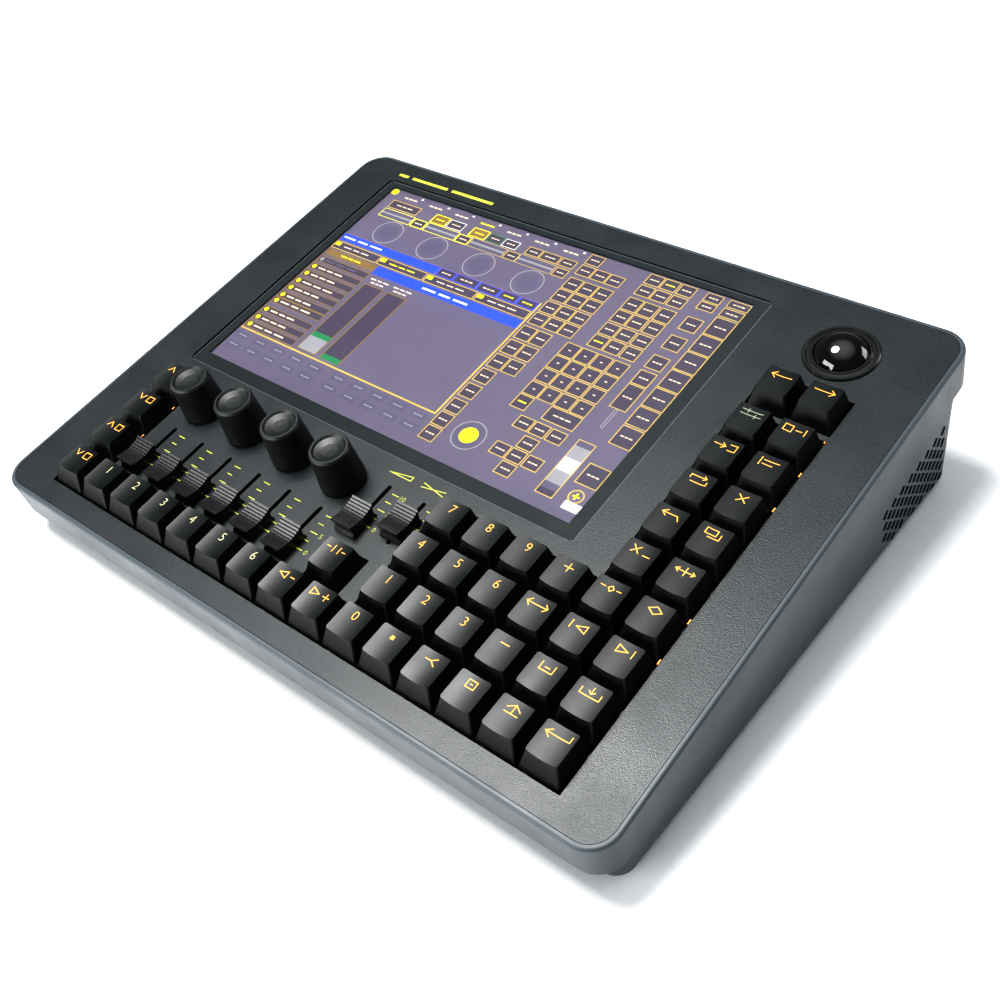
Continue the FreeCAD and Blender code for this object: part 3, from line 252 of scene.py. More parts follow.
def finish_of(
    name, dark, pale, gloss, matt,
    speck=0.0006, bump=0.15, bump_depth=0.0001, metallic=0.0, coat=0.0, sheen=0.5,
):
    """A material of two close colours with a varying gloss and a fine bump; sizes are in metres."""
    material = bpy.data.materials.new(name)
    material.use_nodes = True
    tree = material.node_tree
    shader = tree.nodes["Principled BSDF"]
    vector = tree.nodes.new("ShaderNodeTexCoord").outputs["Object"]
    colours = place_group(tree, speckle, vector, {"Size": speck, "Dark": (*dark, 1), "Pale": (*pale, 1)})
    tree.links.new(colours.outputs["Color"], shader.inputs["Base Color"])
    touched = place_group(tree, handling, vector, {"Gloss": gloss, "Matt": matt})
    tree.links.new(touched.outputs["Roughness"], shader.inputs["Roughness"])
    surface = place_group(tree, grain, vector, {"Size": speck})
    rise = tree.nodes.new("ShaderNodeBump")
    rise.inputs["Strength"].default_value = bump
    rise.inputs["Distance"].default_value = bump_depth
    tree.links.new(surface.outputs["Height"], rise.inputs["Height"])
    tree.links.new(rise.outputs["Normal"], shader.inputs["Normal"])
    shader.inputs["Metallic"].default_value = metallic
    shader.inputs["Coat Weight"].default_value = coat
    shader.inputs["Specular IOR Level"].default_value = sheen
    return material


FINISH_VALUES = {
    "casing_paint": dict(
        dark=(0.040, 0.051, 0.059), pale=(0.051, 0.064, 0.073), gloss=0.40, matt=0.50,
        speck=0.0005, bump=0.12,
    ),
    "face_paint": dict(
        dark=(0.004, 0.006, 0.007), pale=(0.019, 0.023, 0.025), gloss=0.36, matt=0.44,
        speck=0.0005, bump=0.75, bump_depth=0.00014,
    ),
    "key_plastic": dict(
        dark=(0.002, 0.003, 0.003), pale=(0.004, 0.0055, 0.0055), gloss=0.34, matt=0.42,
        speck=0.0004, bump=0.10, sheen=0.36,
    ),
    "knob_plastic": dict(
        dark=(0.003, 0.004, 0.005), pale=(0.006, 0.008, 0.008), gloss=0.42, matt=0.52,
        speck=0.0005, bump=0.35,
    ),
    "fader_plastic": dict(
        dark=(0.012, 0.013, 0.013), pale=(0.018, 0.019, 0.019), gloss=0.20, matt=0.30,
        speck=0.0004, bump=0.08,
    ),
    "ball_gloss": dict(
        dark=(0.003, 0.003, 0.003), pale=(0.005, 0.005, 0.005), gloss=0.04, matt=0.08,
        speck=0.0008, bump=0.0, bump_depth=0.0001, metallic=0.0, coat=0.6,
    ),
    "ring_plastic": dict(
        dark=(0.008, 0.009, 0.009), pale=(0.013, 0.014, 0.014), gloss=0.16, matt=0.26,
        speck=0.0004, bump=0.08,
    ),
    "steel_sheet": dict(
        dark=(0.030, 0.031, 0.032), pale=(0.050, 0.051, 0.053), gloss=0.45, matt=0.55,
        speck=0.0008, bump=0.10, bump_depth=0.0001, metallic=1.0,
    ),
    "steel_sheet_black": dict(
        dark=(0.020, 0.021, 0.022), pale=(0.042, 0.043, 0.045), gloss=0.45, matt=0.55,
        speck=0.0006, bump=0.50,
    ),
    "nickel_metal": dict(
        dark=(0.58, 0.56, 0.53), pale=(0.66, 0.64, 0.61), gloss=0.16, matt=0.28,
        speck=0.0007, bump=0.06, bump_depth=0.0001, metallic=1.0,
    ),
    "brass_posts": dict(
        dark=(0.62, 0.43, 0.16), pale=(0.72, 0.52, 0.22), gloss=0.22, matt=0.34,
        speck=0.0006, bump=0.08, bump_depth=0.0001, metallic=1.0,
    ),
    "sink_aluminium": dict(
        dark=(0.52, 0.53, 0.55), pale=(0.62, 0.63, 0.65), gloss=0.34, matt=0.46,
        speck=0.0007, bump=0.15, bump_depth=0.0001, metallic=1.0,
    ),
    "supply_case": dict(
        dark=(0.55, 0.55, 0.55), pale=(0.62, 0.62, 0.62), gloss=0.34, matt=0.44,
        speck=0.0010, bump=0.15, bump_depth=0.0001, metallic=1.0,
    ),
    "circuit_board": dict(
        dark=(0.012, 0.085, 0.040), pale=(0.020, 0.120, 0.058), gloss=0.30, matt=0.42,
        speck=0.0016, bump=0.15,
    ),
    "switch_plastic": dict(
        dark=(0.030, 0.030, 0.030), pale=(0.045, 0.045, 0.045), gloss=0.40, matt=0.52,
        speck=0.0005, bump=0.20,
    ),
    "fan_plastic": dict(
        dark=(0.014, 0.014, 0.014), pale=(0.022, 0.022, 0.022), gloss=0.42, matt=0.54,
        speck=0.0005, bump=0.25,
    ),
    "socket_black": dict(
        dark=(0.012, 0.012, 0.013), pale=(0.020, 0.020, 0.021), gloss=0.36, matt=0.48,
        speck=0.0005, bump=0.25,
    ),
    "foot_rubber": dict(
        dark=(0.010, 0.010, 0.010), pale=(0.018, 0.018, 0.018), gloss=0.70, matt=0.85,
        speck=0.0009, bump=0.60,
    ),
    "screw_steel": dict(
        dark=(0.24, 0.24, 0.25), pale=(0.32, 0.32, 0.33), gloss=0.28, matt=0.40,
        speck=0.0005, bump=0.10, bump_depth=0.0001, metallic=1.0,
    ),
    "rocker_plastic": dict(
        dark=(0.012, 0.012, 0.012), pale=(0.018, 0.018, 0.018), gloss=0.18, matt=0.28,
        speck=0.0004, bump=0.08,
    ),
    "display_module": dict(
        dark=(0.020, 0.020, 0.022), pale=(0.030, 0.030, 0.032), gloss=0.34, matt=0.44,
        speck=0.0006, bump=0.15,
    ),
}
FINISHES = {name: finish_of(name, **values) for name, values in FINISH_VALUES.items()}
floor_white = finish_of(
    "floor_white", (0.88, 0.88, 0.88), (0.91, 0.91, 0.91), gloss=0.60, matt=0.70, speck=0.004, bump=0.05
)
floor_mesh.materials.append(floor_white)
print("finishes", len(FINISHES))

# %% [markdown]
# ## Cover glass
# The glass lets the lit picture below it through and mirrors the room faintly on top. A clear shader
# with a low roughness does both. Its black border is a dark glossy print, made with the picture.

# %% The glass and the finishes on their pieces
glass = bpy.data.materials.new("touch_glass")
glass.use_nodes = True
glass_shader = glass.node_tree.nodes["Principled BSDF"]
glass_shader.inputs["Base Color"].default_value = (1.0, 1.0, 1.0, 1)
glass_shader.inputs["Transmission Weight"].default_value = 1.0
glass_shader.inputs["IOR"].default_value = 1.45
glass_vector = glass.node_tree.nodes.new("ShaderNodeTexCoord").outputs["Object"]
smears = place_group(glass.node_tree, handling, glass_vector, {"Gloss": 0.03, "Matt": 0.07})
glass.node_tree.links.new(smears.outputs["Roughness"], glass_shader.inputs["Roughness"])
FINISHES["touch_glass"] = glass

slots = {part["node"]: part["material_slot"] for part in frame["record"]["subparts"]}
for node_name, item in nodes.items():
    item.data.materials.clear()
    item.data.materials.append(FINISHES[slots[node_name]])
print("finished nodes", len(nodes))

# %% [markdown]
# ## Soft edges
# No moulded or painted edge is knife sharp, and the thin bright line along an edge is what makes a
# key look real. A small bevel on the sharp edges does this without moving any face.

# %% Bevel the pieces that are seen close up
SHARP_FROM = math.radians(32)
EDGE_WIDTHS = {"key_plastic": 0.28, "fader_plastic": 0.10, "touch_glass": 0.10, "rocker_plastic": 0.10}

for node_name, item in nodes.items():
    if slots[node_name] in EDGE_WIDTHS:
        bevel = item.modifiers.new("soft_edge", "BEVEL")
        bevel.width = EDGE_WIDTHS[slots[node_name]] * MM
        bevel.segments = 2
        bevel.limit_method = "ANGLE"
        bevel.angle_limit = SHARP_FROM
        bevel.harden_normals = True
print("softened", sum(1 for item in nodes.values() if item.modifiers))

# %% [markdown]
# ## Drawing flat shapes on the panel
# Legends, scales and the screen's picture are thin flat shapes. A small drawing board collects
# rectangles, outlines and strokes in panel millimetres, and then makes one mesh of them, lifted a
# hair above its surface. A function of the height lets a legend follow a key's hollow top.

# %% The drawing board
class Board:
    """Collects flat shapes in panel millimetres, each with the number of its ink."""

    def __init__(self, height):
        self.height = height
        self.points, self.faces, self.inks = [], [], []

    def shape(self, corners, ink=0):
        start = len(self.points)
        self.points += [(x, y, self.height(x, y)) for x, y in corners]
        self.faces.append(tuple(range(start, start + len(corners))))
        self.inks.append(ink)

    def box(self, left, bottom, right, top, ink=0):
        self.shape([(left, bottom), (right, bottom), (right, top), (left, top)], ink)

    def outline(self, left, bottom, right, top, line, ink=0):
        self.box(left, bottom, right, bottom + line, ink)
        self.box(left, top - line, right, top, ink)
        self.box(left, bottom + line, left + line, top - line, ink)
        self.box(right - line, bottom + line, right, top - line, ink)

    def stroke(self, start, end, line, ink=0, step=0.9):
        """A straight line, cut into short lengths so that it can follow a curved surface."""
        a, b = Vector(start), Vector(end)
        along = (b - a).normalized()
        side = Vector((-along.y, along.x)) * line / 2
        a, b = a - along * line / 2, b + along * line / 2
        count = max(1, math.ceil((b - a).length / step))
        for k in range(count):
            p, q = a.lerp(b, k / count), a.lerp(b, (k + 1) / count)
            self.shape([tuple(v) for v in (p - side, q - side, q + side, p + side)], ink)

    def ring(self, x, y, outer, inner, ink=0, count=40):
        for k in range(count):
            a, b = (2 * math.pi * (k + d) / count for d in (0, 1))
            ends = [(math.cos(t), math.sin(t)) for t in (a, b)]
            corners = [(x + inner * c, y + inner * s) for c, s in ends]
            corners += [(x + outer * c, y + outer * s) for c, s in reversed(ends)]
            self.shape(corners if inner > 0 else corners[1:], ink)

    def finish(self, name, inks, body, slot):
        mesh = bpy.data.meshes.new(name)
        mesh.from_pydata([PANEL @ (Vector(p) * MM) for p in self.points], [], self.faces)
        for ink in inks:
            mesh.materials.append(ink)
        mesh.polygons.foreach_set("material_index", self.inks)
        item = bpy.data.objects.new(name, mesh)
        bpy.context.scene.collection.objects.link(item)
        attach(item, body)
        return item


# %% [markdown]
# ## Figures
# The number keys and the scales carry plain figures. They are set as text, turned into a mesh and
# read back as flat faces, so that they can be drawn on the board like any other shape.

# %% Figures as flat faces
FIGURES = {}


def figure_faces(text):
    """The faces of a short text, one unit high, centred on the origin."""
    if text not in FIGURES:
        curve = bpy.data.curves.new("figure", "FONT")
        curve.body = text
        curve.size = 1.0
        curve.resolution_u = 3
        curve.offset = -0.012
        item = bpy.data.objects.new("figure", curve)
        bpy.context.scene.collection.objects.link(item)
        mesh = bpy.data.meshes.new_from_object(item.evaluated_get(bpy.context.evaluated_depsgraph_get()))
        points = [v.co.to_2d() for v in mesh.vertices]
        low = Vector((min(p.x for p in points), min(p.y for p in points)))
        high = Vector((max(p.x for p in points), max(p.y for p in points)))
        middle, size = (low + high) / 2, high.y - low.y
        FIGURES[text] = [[(points[k] - middle) / size for k in face.vertices] for face in mesh.polygons]
        bpy.data.objects.remove(item)
        bpy.data.meshes.remove(mesh)
    return FIGURES[text]


def write(board, text, x, y, size, ink=0):
    for corners in figure_faces(text):
        board.shape([(x + p.x * size, y + p.y * size) for p in corners], ink)


print("faces in a nine", len(figure_faces("9")))

# %% [markdown]
# ## Inks and lit colours
# A printed or moulded-in mark is dull and even, with a slight mottle where the ink lies thick or
# thin. A lit mark gives off its colour as well, and a lamp behind a screen is never quite even, so
# its strength drifts a little over the surface. One recipe makes both kinds.

# %% A recipe for inks
def ink_of(name, colour, glow=0.0, roughness=0.5, drift=0.08, sheen=0.5):
    """A mottled ink of a plain colour, lit from within when glow is above zero."""
    material = bpy.data.materials.new(name)
    material.use_nodes = True
    tree = material.node_tree
    shader = tree.nodes["Principled BSDF"]
    vector = tree.nodes.new("ShaderNodeTexCoord").outputs["Object"]
    dark = (*[value * (1 - drift) for value in colour], 1)
    pale = (*[value * (1 + drift) for value in colour], 1)
    mottle = place_group(tree, speckle, vector, {"Size": 0.012, "Dark": dark, "Pale": pale})
    touched = place_group(tree, handling, vector, {"Gloss": roughness, "Matt": roughness + 0.12})
    tree.links.new(touched.outputs["Roughness"], shader.inputs["Roughness"])
    if glow:
        tree.links.new(mottle.outputs["Color"], shader.inputs["Emission Color"])
        shader.inputs["Emission Strength"].default_value = glow
    dull = place_group(tree, speckle, vector, {"Size": 0.0006, "Dark": dark, "Pale": pale})
    tree.links.new(dull.outputs["Color"], shader.inputs["Base Color"])
    shader.inputs["Specular IOR Level"].default_value = sheen
    return material


# %% [markdown]
# ## Key legends
# Each square key has its mark in amber on the rear half of its hollow top. The figure keys carry
# their figures. The command keys carry plain signs made of straight strokes: arrows, bars, frames and
# rings. The marks must follow the hollow, so their height is worked out from the hollow's radius.

# %% The shape of a key's top
KEY_PITCH = 19.05
COLUMN_ZERO, ROW_ZERO = 133.85, -107.85
CLICK_ROW, CLICK_GAP = 9, 3.6
KEY_TOP, HOLLOW_DEPTH, HOLLOW_RADIUS = 7.5, 0.6, 37.5
MARK_UP, MARK_LIFT = 4.7, 0.06
AMBER, CREAM, DIM = 0, 1, 2


def key_middle(column, row):
    lift = CLICK_GAP if row == CLICK_ROW else 0.0
    return COLUMN_ZERO - KEY_PITCH * column, ROW_ZERO + KEY_PITCH * row + lift


def hollow_height(x, y):
    """The height of the hollow key top at a place on the panel."""
    column = (COLUMN_ZERO - x) / KEY_PITCH
    off = (column - round(column)) * KEY_PITCH
    return KEY_TOP - HOLLOW_DEPTH + HOLLOW_RADIUS - math.sqrt(HOLLOW_RADIUS**2 - off**2) + MARK_LIFT


# %% The signs, as strokes in a frame one unit high
SIGNS = {
    "left": [[(1.4, 0), (-1.4, 0)], [(-0.8, 0.5), (-1.4, 0), (-0.8, -0.5)]],
    "right": [[(-1.4, 0), (1.4, 0)], [(0.8, 0.5), (1.4, 0), (0.8, -0.5)]],
    "both": [
        [(-1.5, 0), (1.5, 0)], [(-1.0, 0.5), (-1.5, 0), (-1.0, -0.5)],
        [(1.0, 0.5), (1.5, 0), (1.0, -0.5)],
    ],
    "minus": [[(-0.6, 0), (0.6, 0)]],
    "plus": [[(-0.6, 0), (0.6, 0)], [(0, -0.6), (0, 0.6)]],
    "pause": [
        [(-0.45, 0.5), (-0.45, -0.5)], [(0.45, 0.5), (0.45, -0.5)], [(-1.5, 0), (-1.0, 0)],
        [(1.0, 0), (1.5, 0)],
    ],
    "back": [[(0.1, 0.5), (-1.1, 0), (0.1, -0.5), (0.1, 0.5)], [(0.8, 0), (1.5, 0)]],
    "forward": [
        [(-1.4, 0.5), (-0.2, 0), (-1.4, -0.5), (-1.4, 0.5)], [(0.5, 0), (1.5, 0)],
        [(1.0, 0.5), (1.0, -0.5)],
    ],
    "page_down": [
        [(-1.5, 0.4), (-1.0, -0.4), (-0.5, 0.4)],
        [(0.2, 0.5), (1.4, 0.5), (1.4, -0.5), (0.2, -0.5), (0.2, 0.5)],
    ],
    "page_up": [
        [(-1.5, -0.4), (-1.0, 0.4), (-0.5, -0.4)],
        [(0.2, 0.5), (1.4, 0.5), (1.4, -0.5), (0.2, -0.5), (0.2, 0.5)],
    ],
    "fork": [[(-0.8, 0), (0, 0), (0.7, 0.5)], [(0, 0), (0.7, -0.5)]],
    "aim": [[(-0.6, 0.5), (0.6, 0.5), (0.6, -0.5), (-0.6, -0.5), (-0.6, 0.5)], [(-0.15, 0), (0.15, 0)]],
    "raise": [[(-0.9, 0), (0, 0.6), (0.9, 0)], [(0, 0.6), (0, -0.6)], [(-0.9, -0.6), (0.9, -0.6)]],
    "enter": [[(1.6, 0.6), (1.6, -0.1), (-1.6, -0.1)], [(-0.9, 0.4), (-1.6, -0.1), (-0.9, -0.6)]],
    "slot": [[(-0.9, 0.5), (-0.9, -0.5), (0.9, -0.5), (0.9, 0.5)], [(-0.3, 0), (0.3, 0)]],
    "keep": [
        [(-1.3, 0.1), (-1.3, -0.6), (1.3, -0.6), (1.3, 0.1)], [(0, 0.6), (0, -0.2)],
        [(-0.4, 0.1), (0, -0.2), (0.4, 0.1)],
    ],
    "to_start": [[(-1.2, 0.5), (-1.2, -0.5)], [(0.9, 0.5), (-0.5, 0), (0.9, -0.5), (0.9, 0.5)]],
    "to_end": [[(1.2, 0.5), (1.2, -0.5)], [(-0.9, 0.5), (0.5, 0), (-0.9, -0.5), (-0.9, 0.5)]],
    "bright": [
        [(-0.4, 0), (0, 0.4), (0.4, 0), (0, -0.4), (-0.4, 0)], [(-1.4, 0), (-0.8, 0)],
        [(0.8, 0), (1.4, 0)],
    ],
    "single": [[(-0.9, 0), (0, 0.55), (0.9, 0), (0, -0.55), (-0.9, 0)]],
    "clear": [[(-1.2, 0.5), (-0.2, -0.5)], [(-1.2, -0.5), (-0.2, 0.5)], [(0.5, -0.5), (1.4, -0.5)]],
    "move": [
        [(-1.3, 0), (1.3, 0)], [(0, 0.6), (0, -0.6)], [(-0.9, 0.3), (-1.3, 0), (-0.9, -0.3)],
        [(0.9, 0.3), (1.3, 0), (0.9, -0.3)],
    ],
    "undo": [[(-0.6, 0.6), (-1.2, 0.15), (-0.6, -0.3)], [(-1.2, 0.15), (0.9, 0.15), (1.3, -0.5)]],
    "copy": [
        [(-1.2, 0.6), (0.3, 0.6), (0.3, -0.2), (-1.2, -0.2), (-1.2, 0.6)],
        [(0.9, 0.2), (0.9, -0.6), (-0.6, -0.6)],
    ],
    "renew": [
        [(-1.2, 0), (-1.2, 0.5), (0.9, 0.5)], [(1.2, 0), (1.2, -0.5), (-0.9, -0.5)],
        [(0.5, 0.8), (0.9, 0.5), (0.5, 0.2)],
    ],
    "remove": [[(-0.6, 0.5), (0.6, -0.5)], [(-0.6, -0.5), (0.6, 0.5)]],
    "assign": [
        [(-1.5, 0), (0, 0)], [(-0.5, 0.4), (0, 0), (-0.5, -0.4)],
        [(0.5, 0.5), (1.5, 0.5), (1.5, -0.5), (0.5, -0.5)],
    ],
    "align": [[(-1.2, 0.6), (-1.2, -0.6)], [(-0.8, 0.35), (1.2, 0.35)], [(-0.8, -0.3), (0.5, -0.3)]],
    "setup": [
        [(-1.4, 0.35), (1.4, 0.35)], [(-1.4, -0.35), (1.4, -0.35)], [(-0.6, 0.65), (-0.6, 0.05)],
        [(0.6, -0.05), (0.6, -0.65)],
    ],
    "backup": [
        [(-1.5, 0.5), (-0.4, 0.5), (-0.4, -0.5), (-1.5, -0.5), (-1.5, 0.5)], [(0.1, 0), (0.9, 0)],
        [(1.4, 0.5), (1.4, -0.5)],
    ],
}
print("signs", len(SIGNS))

# %% Which key carries what
KEY_MARKS = {
    "page_keys": [(14, 0, "page_down"), (14, 1, "page_up"), (14, 2, "page_down"), (14, 3, "page_up")],
    "playback_keys_left": [(13, 0, "1"), (12, 0, "2"), (11, 0, "3")],
    "playback_keys_right": [(10, 0, "4"), (9, 0, "5"), (8, 0, "6")],
    "go_back_key": [(7, 0, "back")],
    "go_forward_key": [(6, 0, "forward")],
    "pause_key": [(6.5, 1, "pause")],
    "zero_and_point_keys": [(5, 0, "0"), (4, 0, "point")],
    "front_word_keys": [(3, 0, "fork"), (2, 0, "aim"), (1, 0, "raise"), (0, 0, "enter")],
    "digit_keys_low": [(5, 1, "1"), (4, 1, "2"), (3, 1, "3")],
    "digit_keys_middle": [(5, 2, "4"), (4, 2, "5"), (3, 2, "6")],
    "digit_keys_high": [(5, 3, "7"), (4, 3, "8"), (3, 3, "9")],
    "sign_keys": [(2, 1, "minus"), (2, 2, "both"), (2, 3, "plus")],
    "command_keys_row_one": [(1, 1, "slot"), (0, 1, "keep")],
    "command_keys_row_two": [(1, 2, "to_start"), (0, 2, "to_end")],
    "command_keys_row_three": [(1, 3, "bright"), (0, 3, "single")],
    "command_keys_row_four": [(1, 4, "clear"), (0, 4, "move")],
    "command_keys_row_five": [(1, 5, "undo"), (0, 5, "copy")],
    "command_keys_row_six": [(1, 6, "renew"), (0, 6, "remove")],
    "command_keys_row_seven": [(1, 7, "assign"), (0, 7, "align")],
    "command_keys_row_eight": [(1, 8, "setup"), (0, 8, "backup")],
    "ball_click_keys": [(1, 9, "left"), (0, 9, "right")],
}
for name, marks in KEY_MARKS.items():
    low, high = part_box(name)
    for column, row, mark in marks:
        spot = PANEL @ (Vector((*key_middle(column, row), KEY_TOP / 2)) * MM)
        if not all(low[k] - MM < spot[k] < high[k] + MM for k in range(3)):
            print("mark off its key", name, column, row)
print("keys with marks", sum(len(marks) for marks in KEY_MARKS.values()))

# %% Draw the legends and let each ride on its key
legend_inks = [
    ink_of("legend_amber", (0.60, 0.30, 0.045), 0.45),
    ink_of("legend_cream", (0.46, 0.42, 0.24), 0.20),
    ink_of("legend_dim", (0.20, 0.23, 0.16), 0.2),
]
FIGURE_HIGH, SIGN_HIGH, SIGN_LINE, POINT_HALF = 3.9, 3.1, 0.44, 0.85

for name, marks in KEY_MARKS.items():
    # the pause key stands half a pitch out of step with the columns, so its hollow does too
    shift = KEY_PITCH / 2 if name == "pause_key" else 0.0
    board = Board(lambda x, y, shift=shift: hollow_height(x + shift, y))
    for column, row, mark in marks:
        x, y = key_middle(column, row)
        y += MARK_UP
        ink = CREAM if name.startswith("playback") else DIM if mark == "setup" else AMBER
        if mark.isdigit():
            write(board, mark, x, y, FIGURE_HIGH, ink)
        elif mark == "point":
            board.box(x - POINT_HALF, y - POINT_HALF, x + POINT_HALF, y + POINT_HALF, ink)
        else:
            for line in SIGNS[mark]:
                spots = [(x + px * SIGN_HIGH, y + py * SIGN_HIGH) for px, py in line]
                for start, end in zip(spots, spots[1:]):
                    board.stroke(start, end, SIGN_LINE, ink)
    board.finish("legend_" + name, legend_inks, name, "key_plastic")
print("legend pieces", len(KEY_MARKS))

# %% [markdown]
# ## Printing on the face plate
# The faders stand beside short printed scales: long ticks at the top, middle and bottom, short ones
# between, and figures by the last one of the playback bank. A wedge marks the master fader and two
# crossed lines the cross fader. A broken rule stands at the rear, where a desk has its title.

# %% Fader scales, signs and the title rule
PLATE_LIFT = 0.04
TICK_LINE, FIGURE_SMALL = 0.42, 2.2
PLAYBACK_SLOTS = [-112.50, -93.45, -74.40, -55.35, -36.30, -17.25]
PLAYBACK_TICKS, PLAYBACK_START = [-70.65, -75.15, -79.85, -84.25, -88.95], 4.9
MAIN_SLOTS = MASTER_X, CROSS_X = 1.80, 20.85
MAIN_TICKS, MAIN_START = [-48.55, -52.95, -57.55, -61.95, -66.45], 3.4
PLAYBACK_LONG, PLAYBACK_SHORT, MAIN_LONG, MAIN_SHORT = 8.8, 8.0, 7.2, 6.6
FIGURE_OUT, TEN_OUT, MAIN_FIGURE_OUT = 10.9, 11.6, 9.4

print_board = Board(lambda x, y: PLATE_LIFT)


def scale(slot_x, ticks, start, long, short):
    """Five ticks beside a slot, every second one short."""
    for k, tick_y in enumerate(ticks):
        end = short if k % 2 else long
        print_board.box(slot_x + start, tick_y - TICK_LINE / 2, slot_x + end, tick_y + TICK_LINE / 2)


for slot_x in PLAYBACK_SLOTS:
    scale(slot_x, PLAYBACK_TICKS, PLAYBACK_START, PLAYBACK_LONG, PLAYBACK_SHORT)
for figure, out, tick_y in zip(("10", "5", "0"), (TEN_OUT, FIGURE_OUT, FIGURE_OUT), PLAYBACK_TICKS[::2]):
    write(print_board, figure, PLAYBACK_SLOTS[-1] + out, tick_y, FIGURE_SMALL)
for slot_x in MAIN_SLOTS:
    scale(slot_x, MAIN_TICKS, MAIN_START, MAIN_LONG, MAIN_SHORT)
    for figure, tick_y in zip(("10", "5", "0"), MAIN_TICKS[::2]):
        write(print_board, figure, slot_x + MAIN_FIGURE_OUT, tick_y, FIGURE_SMALL)

SIGN_HALF_WIDE, SIGN_HALF_HIGH, SIGN_Y, CROSS_SIGN_OFF = 5.8, 1.1, -38.6, -1.4
LEFT_FOOT = (MASTER_X - SIGN_HALF_WIDE, SIGN_Y - SIGN_HALF_HIGH)
RIGHT_FOOT = (MASTER_X + SIGN_HALF_WIDE, SIGN_Y - SIGN_HALF_HIGH)
RIGHT_HEAD = (MASTER_X + SIGN_HALF_WIDE, SIGN_Y + SIGN_HALF_HIGH)
for start, end in ((LEFT_FOOT, RIGHT_FOOT), (RIGHT_FOOT, RIGHT_HEAD), (RIGHT_HEAD, LEFT_FOOT)):
    print_board.stroke(start, end, TICK_LINE)
for slope in (-1, 1):
    ends = [
        (CROSS_X + CROSS_SIGN_OFF + side * SIGN_HALF_WIDE, SIGN_Y + side * slope * SIGN_HALF_HIGH)
        for side in (-1, 1)
    ]
    print_board.stroke(*ends, TICK_LINE)

TITLE_Y, TITLE_HALF_HIGH = 119.3, 0.9
TITLE_BARS = [(-141.5, -135.0), (-132.0, -107.5), (-104.5, -77.0)]
for left, right in TITLE_BARS:
    print_board.box(left, TITLE_Y - TITLE_HALF_HIGH, right, TITLE_Y + TITLE_HALF_HIGH)
# The print is no lamp, yet its ink is given a faint glow. This is painted light that makes the yellow green marks
# brighter than the lamps alone make them.
printed = ink_of("print_yellow_green_with_painted_glow", (0.42, 0.45, 0.045), 0.12)
print_board.finish("face_plate_printing", [printed], "desk", "face_paint")
print("printed shapes", len(print_board.faces))

# %% [markdown]
# ## Glimmers between the keys
# Small amber lamps shine under the keycaps, and a little of their light escapes at the edge of the
# opening. Narrow lit strips on the edge of the switch plate stand for it.

# %% Amber glimmers
glimmer_ink = ink_of("glimmer_amber", (0.95, 0.33, 0.05), 0.9)
GLIMMER_DEPTH, GLIMMER_HALF_WIDE, GLIMMER_HALF_LONG, LEFT_HALF_LONG = -0.15, 0.22, 1.1, 0.9
RIGHT_GAP, RIGHT_ROWS, GLIMMER_UP = 143.3, (2, 3, 6, 7, 8), 10.3
LEFT_GAP, LEFT_SPOTS = -124.5, (-59.9, -78.8)
glimmers = Board(lambda x, y: GLIMMER_DEPTH)


def glimmer(x, y, half_long):
    glimmers.box(x - GLIMMER_HALF_WIDE, y - half_long, x + GLIMMER_HALF_WIDE, y + half_long)


for row in RIGHT_ROWS:
    glimmer(RIGHT_GAP, ROW_ZERO + KEY_PITCH * row + GLIMMER_UP, GLIMMER_HALF_LONG)
for y in LEFT_SPOTS:
    glimmer(LEFT_GAP, y, LEFT_HALF_LONG)
glimmers.finish("key_glimmers", [glimmer_ink], "desk", "switch_plastic")
print("glimmers", len(glimmers.faces))

# %% [markdown]
# ## The screen's picture
# The screen shows a violet grey ground, a window with a list and two level columns, and blocks of
# framed buttons with short words in them. Real words would need lettering, so each is a short cream
# bar. Every shape is placed in screen units, 7.2 to a millimetre, counted right and down from the
# picture's top left corner. The picture is a stack of thin layers low in the thickness of the glass. The
# black border lies on the upper face of the glass, and so does a fine pale line all round it: a painted
# highlight that stands for the glint caught by the polished edge of the glass.

# %% Colours of the picture
PICTURE_COLOURS = {
    "ground": (0.120, 0.108, 0.152),
    "well": (0.070, 0.062, 0.088),
    "frame": (0.50, 0.38, 0.09),
    "word": (0.60, 0.52, 0.38),
    "blue": (0.040, 0.085, 0.78),
    "yellow": (0.90, 0.86, 0.030),
    "pale": (0.58, 0.62, 0.58),
    "grey": (0.24, 0.24, 0.26),
    "green": (0.035, 0.19, 0.085),
    "brown": (0.19, 0.13, 0.060),
    "dim": (0.105, 0.098, 0.145),
}
picture_inks = [
    ink_of("picture_" + name, colour, glow=0.75, roughness=0.3, drift=0.04, sheen=0.0)
    for name, colour in PICTURE_COLOURS.items()
]
INK = {name: k for k, name in enumerate(PICTURE_COLOURS)}
PICTURE_LEFT, PICTURE_TOP, UNIT = -137.85, 110.65, 1 / 7.2
LAYER_LOW, LAYER_STEP = -2.40, 0.04
print("picture inks", len(picture_inks))


